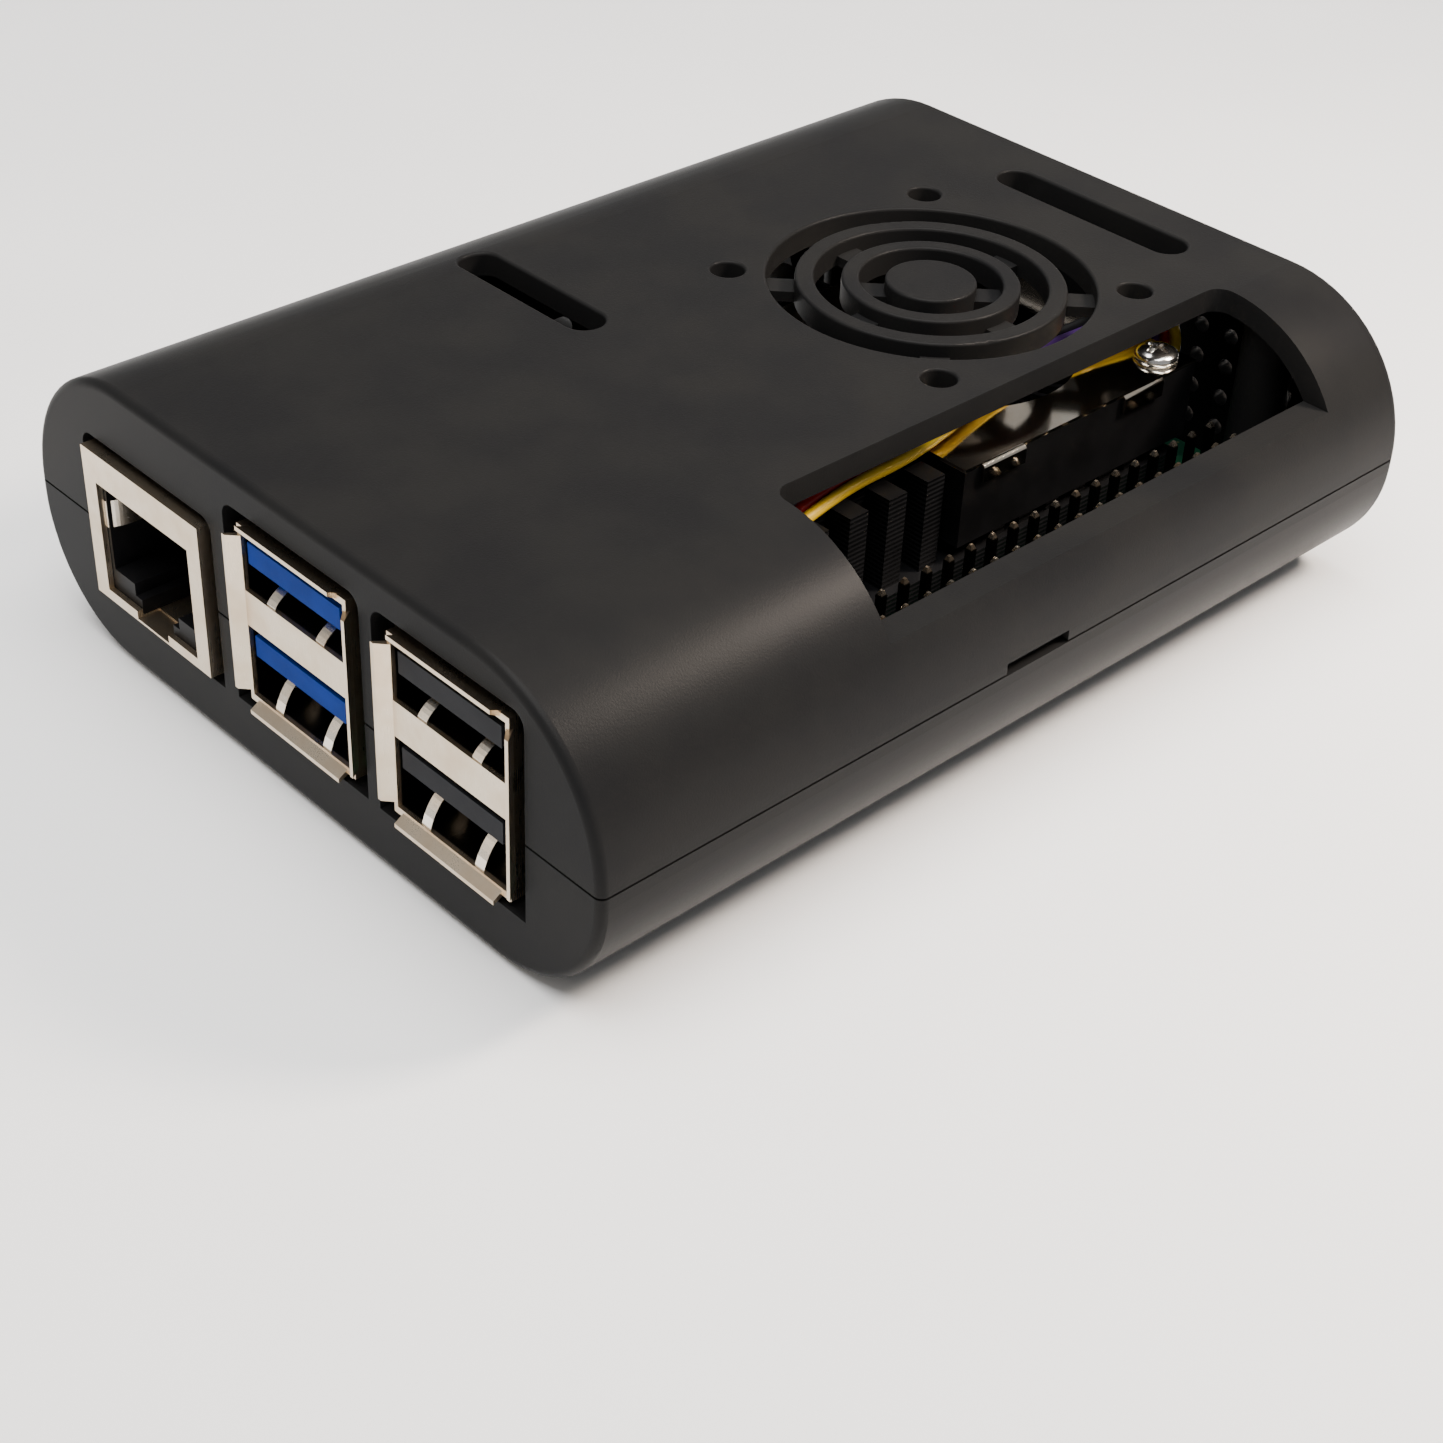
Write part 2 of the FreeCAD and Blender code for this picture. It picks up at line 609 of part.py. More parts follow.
def side_ports(part, half):
    """Openings of the lower long side for the power and display plugs."""
    loops = []
    sizes = ((s.usb_c_along, s.usb_c_width, s.usb_c_height), (s.hdmi_first, s.hdmi_width, s.hdmi_height),
             (s.hdmi_second, s.hdmi_width, s.hdmi_height))
    for along, width, height in sizes:
        middle = board_left + along
        reach = width / 2 + s.plug_clearance
        low = board_top - s.plug_clearance
        top = board_top + height + s.plug_clearance
        loops.append(rounded(middle - reach, low, middle + reach, top, as_size(1.5)))
    depth = half + board_low - 0.4
    pocket(part, draw(part, "XZ_Plane", half, loops), depth)
    return part


def left_end(part):
    """Holes of the left end wall for the power key, the status light, the memory card and the vents."""
    key_up = board_top + s.key_up
    loops = [("circle", board_low + s.key_across, key_up, s.key_radius + s.key_gap)]
    loops.append(("circle", board_low + s.light_across, board_top + s.light_hole_up, s.light_hole))
    half = s.card_width / 2 + s.card_room
    middle = board_low + s.card_across
    card_up = board_under - s.card_thickness - s.socket_wall
    card_top = card_up + s.card_thickness + s.card_room
    loops.append(rectangle(middle - half, card_up - s.card_room, middle + half, card_top))
    pocket(part, draw(part, "YZ_Plane", case_left + s.end_wall, loops), s.end_wall + 0.2)
    holes = vents((0,), range(3, 9)) + vents((1,), range(-9, 9))
    pocket(part, draw(part, "YZ_Plane", case_left + s.end_wall, holes), s.end_wall + 0.2)
    thumb = rounded(case_left - 3, middle - half, case_left + s.thumb_depth, middle + half, s.thumb_round)
    pocket(part, draw(part, "XY_Plane", shell_low, [thumb]), card_up - shell_low, reverse=True)
    return part


def rubber_feet():
    """Four flat rubber feet stuck under the tray."""
    feet = []
    for sign_x in (-1, 1):
        for sign_y in (-1, 1):
            x = (s.case_length / 2 - s.foot_inset) * sign_x + (case_left + case_right) / 2
            y = (s.case_width / 2 - s.bottom_radius - s.foot_radius - 0.8) * sign_y
            feet.append(rod("foot", (x, y, as_size(0.0)), s.foot_radius, s.foot_proud))
    gather("rubber_feet", feet)


def stems():
    """The two push pins, as (along, across)."""
    return ((s.stem_one_along, s.stem_one_across), (s.stem_two_along, s.stem_two_across))


# ---------------------------------------------------------------- board


def circuit_board():
    """The board, with its corners, four mounting holes and two cooler holes."""
    part = body("circuit_board")
    right = board_left + s.board_length
    high = board_low + s.board_width
    outline = rounded(board_left, board_low, right, high, s.board_corner)
    holes = []
    for along, across in board_holes():
        x, y, z = at(along, across, 0)
        holes.append(("circle", x, y, s.board_hole / 2))
    for along, across in stems():
        x, y, z = at(along, across, 0)
        holes.append(("circle", x, y, s.stem_radius + s.stem_gap))
    pad(part, draw(part, "XY_Plane", board_under, [outline] + holes), s.board_thickness)
    return part


def header():
    """The 40-pin header: its block and its square pins."""
    across = s.board_width - s.header_across
    length = s.header_pitch * 20
    width = s.header_pitch * 2
    middle = at(s.header_along, across, 0)
    base = centred("header_block", middle, (length, width, s.header_base))
    holes = []
    pins = []
    for k in range(20):
        for j in range(2):
            along = s.header_along + s.header_pitch * (k - 9.5)
            place = at(along, across + s.header_pitch * (j - 0.5), 0)
            size = (s.pin_width, s.pin_width, s.pin_height)
            pins.append(centred("header_pin", place, size))
            slot = (s.pin_width, s.pin_width, s.header_base + 0.2)
            holes.append(centred("header_slot", place, slot))
    cut("gpio_header_base", base, holes)
    gather("gpio_pins", pins)


def chips():
    """The packages on the board's top face that the cooler sits on or beside."""
    size = (s.chip_size, s.chip_size, s.chip_height)
    centred("processor_chip", at(s.chip_along, s.chip_across, 0), size)
    size = (s.lid_size, s.lid_size, s.lid_height)
    centred("processor_lid", at(s.chip_along, s.chip_across, s.chip_height), size)
    size = (s.memory_width, s.memory_length, s.memory_height)
    centred("memory_chip", at(s.memory_along, s.memory_across, 0), size)
    size = (s.controller_size, s.controller_size, s.controller_height)
    centred("io_controller_chip", at(s.controller_along, s.controller_across, 0), size)
    size = (s.power_chip_size, s.power_chip_size, s.power_chip_height)
    centred("power_chip", at(s.power_chip_along, s.power_chip_across, 0), size)
    size = (s.can_length, s.can_width, s.can_height)
    centred("wireless_can", at(s.can_along, s.can_across, 0), size)
    light = at(0.2, s.light_across, 0)
    block("status_light", (light[0], light[1] - 0.8, light[2]), (as_size(1.2), as_size(1.6), as_size(1.1)))


def small_parts():
    """Resistors, capacitors, inductors and crystals: plain blocks in the rows that they stand in."""
    pieces = []
    rows = (
        (20.0, 18.0, 4, 1.6, 0.0, (1.0, 0.5, 0.5)), (18.5, 26.8, 3, 0.0, 2.6, (1.6, 0.8, 0.8)),
        (20.0, 10.0, 3, 3.2, 0.0, (2.5, 2.0, 1.2)), (30.5, 10.8, 3, 2.2, 0.0, (1.0, 0.5, 0.5)),
        (62.8, 22.4, 4, 0.0, 2.4, (1.6, 0.8, 0.8)), (43.0, 18.6, 1, 0.0, 0.0, (2.0, 1.6, 0.7)),
        (5.0, 47.8, 2, 2.0, 0.0, (1.0, 0.5, 0.5)), (30.0, 47.8, 8, 3.1, 0.0, (1.0, 0.5, 0.5)),
        (62.6, 33.0, 3, 0.0, 2.2, (1.0, 0.5, 0.5)), (20.2, 22.4, 2, 2.4, 0.0, (2.0, 1.2, 0.9)),
    )
    for along, across, count, step_x, step_y, size in rows:
        for k in range(count):
            place = at(along + step_x * k, across + step_y * k, 0)
            pieces.append(centred("small_part", place, tuple(as_size(v) for v in size)))
    gather("small_parts", pieces)


def power_over_network_header():
    """Four square pins in a low block beside the network jack."""
    middle = at(s.poe_along, s.poe_across, 0)
    width = s.header_pitch * 2
    pieces = [centred("poe_block", middle, (width, width, s.header_base))]
    for i in (-0.5, 0.5):
        for j in (-0.5, 0.5):
            place = (middle[0] + s.header_pitch * i, middle[1] + s.header_pitch * j, middle[2])
            pieces.append(centred("poe_pin", place, (s.pin_width, s.pin_width, s.pin_height)))
    join("power_header", pieces)


def flat_connector(name, lid_name, place, size):
    """A low connector slotted for a flat cable, and its lid, slotted to match. Returns the connector."""
    width, length, height = size
    shell = centred("flat_shell", place, size)
    long_slot = length - s.cable_slot_ends
    slot = centred("flat_slot", (place[0], place[1], place[2] + s.cable_slot_floor),
                   (s.cable_slot, long_slot, height))
    lid = centred("flat_lid", (place[0], place[1], place[2] + height + s.lid_gap),
                  (width - s.lid_inset, length - 2 * s.lid_inset, s.latch_height))
    mouth = centred("flat_mouth", (place[0], place[1], place[2] + height - s.lid_inset),
                    (s.cable_slot, long_slot, s.latch_height + 3 * s.lid_inset))
    cut(lid_name, lid, [mouth])
    return cut(name, shell, [slot])


def flat_connectors():
    """Camera and expansion connectors for flat cables, each with a lid that lifts to free the cable."""
    size = (s.camera_width, s.camera_length, s.camera_height)
    across = s.camera_low + s.camera_length / 2
    near = flat_connector("camera_near", "camera_latch_near", at(s.camera_first, across, 0), size)
    far = flat_connector("camera_far", "camera_latch_far", at(s.camera_second, across, 0), size)
    gather("camera_connectors", [near, far])
    flat_connector("flat_cable_connector", "flat_cable_latch", at(s.flat_along, s.flat_across, 0),
                   (s.flat_width, s.flat_length, s.flat_height))


def sockets():
    """The small wire sockets: fan, clock battery and debug."""
    wall = s.socket_side
    place = at(s.fan_socket_along, s.fan_socket_across, 0)
    shell = centred("fan_shell", place, (s.fan_socket_width, s.fan_socket_length, s.fan_socket_height))
    well = centred("fan_well", (place[0], place[1], place[2] + s.fan_socket_floor),
                   (s.fan_socket_width - 2 * wall, s.fan_socket_length - 2 * wall, s.fan_socket_height))
    cut("fan_socket", shell, [well])
    for name, along, length in (("clock_socket", s.clock_along, s.clock_length),
                                ("debug_socket", s.debug_along, s.debug_length)):
        place = at(along, s.small_socket_across, 0)
        shell = centred(name + "_shell", place, (length, s.small_socket_depth, s.small_socket_height))
        front = place[1] - s.small_socket_depth / 2 - wall
        well = block(name + "_well", (place[0] - length / 2 + wall, front, place[2] + wall),
                     (length - 2 * wall, s.small_socket_depth, s.small_socket_height - 2 * wall))
        cut(name, shell, [well])


def power_key():
    """The side switch on the board and the key in the case wall that presses it."""
    middle = at(0, s.key_across, s.key_up)
    size = (s.switch_length, s.switch_width, s.switch_height)
    front = middle[0] + s.switch_back
    shell = block("switch_shell", (front, middle[1] - s.switch_width / 2, board_top), size)
    well = rod("switch_well", (front - 0.2, middle[1], middle[2]), s.cap_radius + s.key_gap,
               s.cap_length, "X")
    cut("power_switch_body", shell, [well])
    cap_start = middle[0] + s.key_gap
    cap = rod("power_switch_cap", (cap_start, middle[1], middle[2]), s.cap_radius, s.cap_length - 0.05, "X")
    inner_face = case_left + s.end_wall
    key_face = case_left + s.key_sunk
    stalk = rod("key_stalk", (key_face, middle[1], middle[2]), s.key_radius,
                inner_face - key_face + s.key_gap, "X")
    flange = block("key_flange", (inner_face + 0.05, middle[1] - s.key_flange, board_top + s.usb_lift),
                   (cap_start - inner_face - 0.05, 2 * s.key_flange, s.flange_height))
    join("power_key", [stalk, flange])
    return cap


def memory_card():
    """The card socket's metal cover under the board, and the card in it."""
    across = s.card_across
    low = board_under - s.card_thickness - s.socket_wall - s.card_gap
    height = board_under - low
    start = board_left - s.card_out
    middle = board_low + across
    gap = s.card_gap
    shell_length = s.card_length - s.card_out
    outer = block("socket_outer", (board_left + 0.2, middle - s.card_width / 2 - gap - s.socket_wall, low),
                  (shell_length, s.card_width + 2 * gap + 2 * s.socket_wall, height - 0.02))
    inner = block("socket_inner", (board_left - 0.5, middle - s.card_width / 2 - gap, low + s.socket_wall),
                  (shell_length + 0.4, s.card_width + 2 * gap, s.card_thickness + gap * 0.6))
    cut("card_socket", outer, [inner])
    slab = block("memory_card", (start, middle - s.card_width / 2, low + s.socket_wall + gap * 0.3),
                 (s.card_length - 0.5, s.card_width, s.card_thickness))
    return slab


# ---------------------------------------------------------------- ports


def network_jack():
    """The network jack: a sheet-metal shield, a plastic insert with the plug's cavity, and eight contacts."""
    face = case_right + s.port_proud
    depth = s.jack_depth
    middle = board_low + s.jack_across
    half = s.jack_width / 2
    sheet_ = s.shield_sheet
    outer = block("jack_outer", (face - depth, middle - half, board_top),
                  (depth, s.jack_width, s.jack_height))
    inner = block("jack_inner", (face - depth - 1, middle - half + sheet_, board_top + sheet_),
                  (depth + 1 - sheet_ * 1.4, s.jack_width - 2 * sheet_, s.jack_height - 2 * sheet_))
    low = board_top + s.jack_opening_low
    through = as_size(3.0)
    tall = s.jack_opening_high - s.jack_opening_low
    mouth = block("jack_mouth", (face - 2, middle - s.jack_opening_width / 2, low),
                  (through, s.jack_opening_width, tall))
    latch = block("jack_latch", (face - 2, middle - s.latch_width / 2, board_top + s.latch_sill),
                  (through, s.latch_width, s.jack_opening_low + 0.3))
    cut("ethernet_shield", outer, [inner, join("jack_front", [mouth, latch])])
    gap = s.insert_gap
    front_sheet = sheet_ * 1.4
    plug_width = s.jack_opening_width - 2 * s.plug_wall
    wide = s.jack_width - 2 * (sheet_ + gap)
    high = s.jack_height - 2 * (sheet_ + gap)
    body_ = block("insert_body", (face - depth + gap + sheet_, middle - wide / 2, board_top + sheet_ + gap),
                  (depth - gap - sheet_ - front_sheet - gap, wide, high))
    start = face - s.jack_cavity
    cavity = block("insert_cavity", (start, middle - plug_width / 2, low + s.cavity_floor),
                   (s.jack_cavity + 1, plug_width, tall - s.cavity_floor - s.plug_wall))
    step = block("insert_step", (start, middle - s.step_width / 2, low + s.step_floor),
                 (s.jack_cavity + 1, s.step_width, s.cavity_floor - s.step_floor + 0.5))
    notch = block("insert_notch", (start, middle - s.latch_width / 2, board_top + sheet_),
                  (s.jack_cavity + 1, s.latch_width, s.jack_opening_low + s.step_floor))
    cut("ethernet_insert", body_, [join("insert_space", [cavity, step, notch])])
    contacts = []
    top = low + tall - s.plug_wall
    for k in range(8):
        across = middle + s.jack_contact_pitch * (k - 3.5)
        place = (start + 0.2, across - s.jack_contact_width / 2, top - s.jack_contact_drop - 0.05)
        contacts.append(block("jack_contact", place,
                              (s.jack_contact_length, s.jack_contact_width, s.jack_contact_drop)))
    gather("ethernet_contacts", contacts)


def usb_lips(name, middle, base, face):
    """The four lips at the mouth of a stack's shield, flared outwards, with open corners between them."""
    root_x = face - s.usb_flare_depth
    sheet_ = s.shield_sheet
    inset = s.lip_corner
    sides = body(name + "_side_lips")
    half = s.usb_width / 2
    loops = []
    for sign in (-1, 1):
        lip = [(root_x - s.lip_overlap, half - sheet_), (root_x, half - sheet_),
               (face, half + s.usb_flare - sheet_), (face, half + s.usb_flare),
               (root_x - sheet_, half), (root_x - s.lip_overlap, half)]
        loops.append([(u, middle + v * sign) for u, v in lip])
    tall = s.usb_height - 2 * inset
    pad(sides, draw(sides, "XY_Plane", base + inset, loops), tall)
    ends = body(name + "_end_lips")
    rise = s.usb_end_flare
    low = [(root_x - s.lip_overlap, sheet_), (root_x, sheet_), (face, sheet_ - rise), (face, -rise),
           (root_x - sheet_, 0.0), (root_x - s.lip_overlap, 0.0)]
    loops = [[(u, base + v) for u, v in low], [(u, base + s.usb_height - v) for u, v in low]]
    wide = s.usb_width - 2 * inset
    pad(ends, draw(ends, "XZ_Plane", -(middle + wide / 2), loops), wide)
    return [sides, ends]


def usb_stack(name, across):
    """Two stacked USB sockets: a folded shield with flared lips, a block with two tongues, and contacts."""
    face = case_right + s.port_proud
    back = face - s.usb_depth
    front = face - s.usb_flare_depth
    middle = board_low + across
    half = s.usb_width / 2
    sheet_ = s.shield_sheet
    base = board_top + s.usb_lift
    outer = block(name + "_outer", (back, middle - half, base), (front - back, s.usb_width, s.usb_height))
    mouths = []
    bays = ((s.usb_lower_opening, s.usb_lower_height), (s.usb_upper_opening, s.usb_opening_height))
    for low, height in bays:
        mouths.append(block(name + "_mouth", (back + 1, middle - s.usb_opening_width / 2, board_top + low),
                            (s.usb_depth, s.usb_opening_width, height)))
    rear = block(name + "_rear", (back + sheet_, middle - half + sheet_, base + sheet_),
                 (s.usb_block, s.usb_width - 2 * sheet_, s.usb_height - 2 * sheet_))
    shell = cut(name + "_shell", outer, [join(name + "_space", mouths + [rear])])
    lips = usb_lips(name, middle, base, face)
    join(name + "_shield", [shell] + lips)
    gap = 0.05
    core = block(name + "_core", (back + sheet_ + gap, middle - half + sheet_ + gap, base + sheet_ + gap),
                 (s.usb_block - 2 * gap, s.usb_width - 2 * (sheet_ + gap), s.usb_height - 2 * (sheet_ + gap)))
    pieces = [core]
    contacts = []
    for low, height in bays:
        top = board_top + low + height - s.tongue_drop
        length = face - s.tongue_setback - (back + s.usb_block)
        pieces.append(block(name + "_tongue", (back + s.usb_block, middle - s.tongue_width / 2,
                                               top - s.tongue_thickness),
                            (length, s.tongue_width, s.tongue_thickness)))
        for k in range(4):
            place = (back + s.usb_block + 1, middle + s.contact_pitch * (k - 1.5) - s.contact_width / 2,
                     top - s.tongue_thickness - s.contact_sheet)
            contacts.append(block(name + "_contact", place, (length - 2, s.contact_width, s.contact_sheet)))
    join(name + "_tongues", pieces)
    gather(name + "_contacts", contacts)


def power_port():
    """The USB-C socket: a drawn shell of racetrack section with a thin tongue in it."""
    part = body("usb_c_shell")
    middle = board_left + s.usb_c_along
    low = board_top + 0.02
    top = low + s.usb_c_height
    wide = s.usb_c_width / 2
    bend = s.usb_c_height / 2 - 0.05
    outer = rounded(middle - wide, low, middle + wide, top, bend)
    front = board_low - s.usb_c_proud
    pad(part, draw(part, "XZ_Plane", -front, [outer]), s.usb_c_depth, reverse=True)
    sheet_ = as_size(0.3)
    inner = rounded(middle - wide + sheet_, low + sheet_, middle + wide - sheet_, top - sheet_, bend - sheet_)
    pocket(part, draw(part, "XZ_Plane", -front, [inner]), s.usb_c_depth - 0.6)
    tongue = block("usb_c_tongue", (middle - 3.3, front + 0.9, low + s.usb_c_height / 2 - 0.35),
                   (as_size(6.6), s.usb_c_depth - 1.6, as_size(0.7)))
    return tongue


def display_ports():
    """Two micro HDMI sockets: shells with cut lower corners, and their tongues."""
    shells = []
    tongues = []
    for along in (s.hdmi_first, s.hdmi_second):
        part = body("hdmi_body")
        middle = board_left + along
        low = board_top + 0.02
        top = low + s.hdmi_height
        wide = s.hdmi_width / 2
        front = board_low - s.hdmi_proud

        def outline(inset):
            a, b = low + inset, top - inset
            w = wide - inset
            return [(middle - w + 0.9, a), (middle + w - 0.9, a), (middle + w, a + 0.9), (middle + w, b),
                    (middle - w, b), (middle - w, a + 0.9)]

        pad(part, draw(part, "XZ_Plane", -front, [outline(as_size(0.0))]), s.hdmi_depth, reverse=True)
        pocket(part, draw(part, "XZ_Plane", -front, [outline(as_size(0.28))]), s.hdmi_depth - 0.6)
        shells.append(part)
        tongues.append(block("hdmi_tongue", (middle - 2.1, front + 0.9, low + 1.2),
                             (as_size(4.2), s.hdmi_depth - 1.6, as_size(0.6))))
    gather("micro_hdmi_shells", shells)
    gather("micro_hdmi_tongues", tongues)


# ---------------------------------------------------------------- cooler

base_top_up = s.base_low + s.base_thickness
fin_top_up = base_top_up + s.low_fin_height
plate_low_up = fin_top_up + s.blower_height
blower_left = s.blower_along - s.blower_size / 2
blower_bottom = s.blower_across - s.blower_size / 2


def heatsink():
    """The cut-cornered base with low fins under the blower and tall pin fins behind its outlet."""
    part = body("heatsink")
    x_a, y_a, z_a = at(s.base_start, s.base_bottom, s.base_low)
    x_b, y_b, z_b = at(s.base_end, s.base_top, base_top_up)
    corner_x = board_left + s.notch_first
    inner_x = board_left + s.notch_second
    inner_y = board_low + s.base_inner
    outline = [(x_a, y_a), (corner_x, y_a), (inner_x, inner_y), (x_b, inner_y), (x_b, y_b), (x_a, y_b)]
    pad(part, draw(part, "XY_Plane", z_a, [outline]), s.base_thickness)
    ear = at(s.stem_one_along, s.stem_one_across, s.base_low)
    pad(part, draw(part, "XY_Plane", z_a, [("circle", ear[0], ear[1], s.ear_radius)]), s.base_thickness)
    loops = []
    for k in range(int(s.low_fins.number)):
        left = x_a + 1.4 + s.low_fin_pitch * k
        bottom = y_a + 0.8
        if k == int(s.low_fins.number) - 1:
            bottom = bottom + 1.2
        loops.append(rectangle(left, bottom, left + s.low_fin_width, y_b - 0.6))
    pad(part, draw(part, "XY_Plane", z_b - 0.2, loops), s.low_fin_height + 0.2)
    loops = []
    for i in range(int(s.pin_rows.number)):
        for j in range(int(s.pin_columns.number)):
            left = board_left + s.pin_fin_along + s.pin_row_pitch * i
            bottom = board_low + s.pin_fin_across + s.pin_column_pitch * j
            if i < 2 and j == 0:
                bottom = bottom - 1.4 * (2 - i)
            top = board_low + s.pin_fin_across + s.pin_column_pitch * j + s.pin_fin_width
            loops.append(rectangle(left, bottom, left + s.pin_fin_length, top))
    pad(part, draw(part, "XY_Plane", z_b - 0.2, loops), s.pin_fin_height + 0.2)
    holes = []
    for along, across in stems():
        x, y, z = at(along, across, 0)
        holes.append(("circle", x, y, s.stem_radius + s.stem_gap))
    pocket(part, draw(part, "XY_Plane", z_b + 0.5, holes), s.base_thickness + 1)
    return part


def thermal_pads():
    """Soft pads between the packages and the base."""
    pads = []
    for along, across, size, top in (
            (s.chip_along, s.chip_across, s.lid_size - 1, s.chip_height + s.lid_height),
            (s.controller_along, s.controller_across, s.controller_size - 1, s.controller_height),
            (s.can_along, s.can_across, s.can_width - 1.5, s.can_height)):
        pads.append(centred("thermal_pad", at(along, across, top), (size, size, s.base_low - top)))
    gather("thermal_pads", pads)


def blower_middle(up):
    """The impeller's axis at a height above the board."""
    return at(s.blower_along, s.blower_across, up)


def blower_screws():
    """The three corners of the blower that have a screw, as (along, across)."""
    for i, j in ((0, 1), (0, 0), (1, 0)):
        along = blower_left + s.screw_inset + (s.blower_size - 2 * s.screw_inset) * i
        across = blower_bottom + s.screw_inset + (s.blower_size - 2 * s.screw_inset) * j
        yield along, across


def blower_housing():
    """The square housing: a round scroll that opens to the right, a bearing tube and screw holes."""
    corner = at(blower_left, blower_bottom, fin_top_up)
    shell = block("housing_block", corner, (s.blower_size, s.blower_size, s.blower_height))
    scroll = rod("housing_scroll", blower_middle(fin_top_up + s.blower_floor), s.scroll_radius,
                 s.blower_height)
    middle = blower_middle(fin_top_up + s.blower_floor)
    outlet = block("housing_outlet", (middle[0], middle[1] - s.outlet_width / 2 - 2.4, middle[2]),
                   (s.blower_size, s.outlet_width, s.blower_height - s.blower_floor - 0.9))
    throat = block("housing_throat", (middle[0], middle[1] - s.outlet_width / 2 - 2.4, middle[2]),
                   (s.blower_size / 2 - 1.2, s.outlet_width, s.blower_height))
    holes = [rod("housing_screw", at(a, b, plate_low_up - s.screw_length + 0.8), s.screw_radius + 0.05,
                 s.screw_length) for a, b in blower_screws()]
    space = join("housing_space", [scroll, outlet, throat])
    hollow = cut("housing_hollow", shell, [space] + holes)
    tube = rod("housing_tube", blower_middle(fin_top_up + s.blower_floor - 0.2), s.tube_radius, as_size(3.4))
    bore = rod("housing_bore", blower_middle(fin_top_up + s.blower_floor), s.bearing_radius, as_size(4.0))
    cut("fan_housing", join("housing_whole", [hollow, tube]), [bore])
    bearing = rod("bearing_outer", blower_middle(fin_top_up + s.blower_floor), s.bearing_radius, as_size(3.0))
    hole = rod("bearing_bore", blower_middle(fin_top_up + s.blower_floor - 0.1),
               s.shaft_radius + s.shaft_gap, as_size(3.3))
    cut("fan_bearing", bearing, [hole])


def blower_plate():
    """The sheet-metal cover: an inlet, screw holes, and two tabs bent down on each long side."""
    corner = at(blower_left, blower_bottom, plate_low_up)
    sheet_ = block("plate_sheet", corner, (s.blower_size, s.blower_size, s.plate_sheet))
    inlet = rod("plate_inlet", blower_middle(plate_low_up - 0.5), s.inlet / 2, as_size(2.0))
    holes = [rod("plate_hole", at(a, b, plate_low_up - 0.5), s.screw_radius + 0.1, as_size(2.0))
             for a, b in blower_screws()]
    flat = cut("plate_flat", sheet_, [inlet] + holes)
    bend = s.plate_bend
    thick = s.plate_sheet
    top = corner[2] + thick
    middle = corner[1] + s.blower_size / 2
    half = s.blower_size / 2
    profile = [
        (half - 0.3, top - thick), (half, top - thick, -bend), (half + bend, top - thick - bend),
        (half + bend, top - s.tab_drop), (half + bend + thick, top - s.tab_drop),
        (half + bend + thick, top - thick - bend, bend + thick), (half, top), (half - 0.3, top),
    ]
    mirrored = [
        (half - 0.3, top), (half, top, bend + thick), (half + bend + thick, top - thick - bend),
        (half + bend + thick, top - s.tab_drop), (half + bend, top - s.tab_drop),
        (half + bend, top - thick - bend, -bend), (half, top - thick), (half - 0.3, top - thick),
    ]
    loops = [[(middle + c[0],) + tuple(c[1:]) for c in profile],
             [(middle - c[0],) + tuple(c[1:]) for c in mirrored]]
    tabs = []
    for start in (s.tab_from_corner + 3.0, s.blower_size - s.tab_from_corner - s.tab_length):
        tab = body("plate_tabs")
        pad(tab, draw(tab, "YZ_Plane", corner[0] + start, loops), s.tab_length)
        tabs.append(tab)
    join("fan_cover_plate", [flat] + tabs)


def blower_fasteners():
    """Three cross-head screws: a domed head and a shank."""
    screws = []
    top = plate_low_up + s.plate_sheet
    for k, (along, across) in enumerate(blower_screws()):
        head = cone("screw_head", at(along, across, top), s.screw_head, s.screw_head * 0.72,
                    s.screw_head_height)
        shank = rod("screw_shank", at(along, across, plate_low_up - s.screw_length + 1.2), s.screw_radius,
                    s.screw_length - 0.6)
        solid = join("screw_solid", [head, shank])
        up = top + s.screw_head_height - 0.5
        place = at(along, across, up)
        bar = centred("screw_bar", place, (s.screw_head * 1.1, as_size(0.4), as_size(1.0)))
        cross = centred("screw_cross", place, (as_size(0.4), s.screw_head * 1.1, as_size(1.0)))
        screws.append(cut("screw", solid, [join("screw_recess", [bar, cross])]))
    gather("fan_screws", screws)


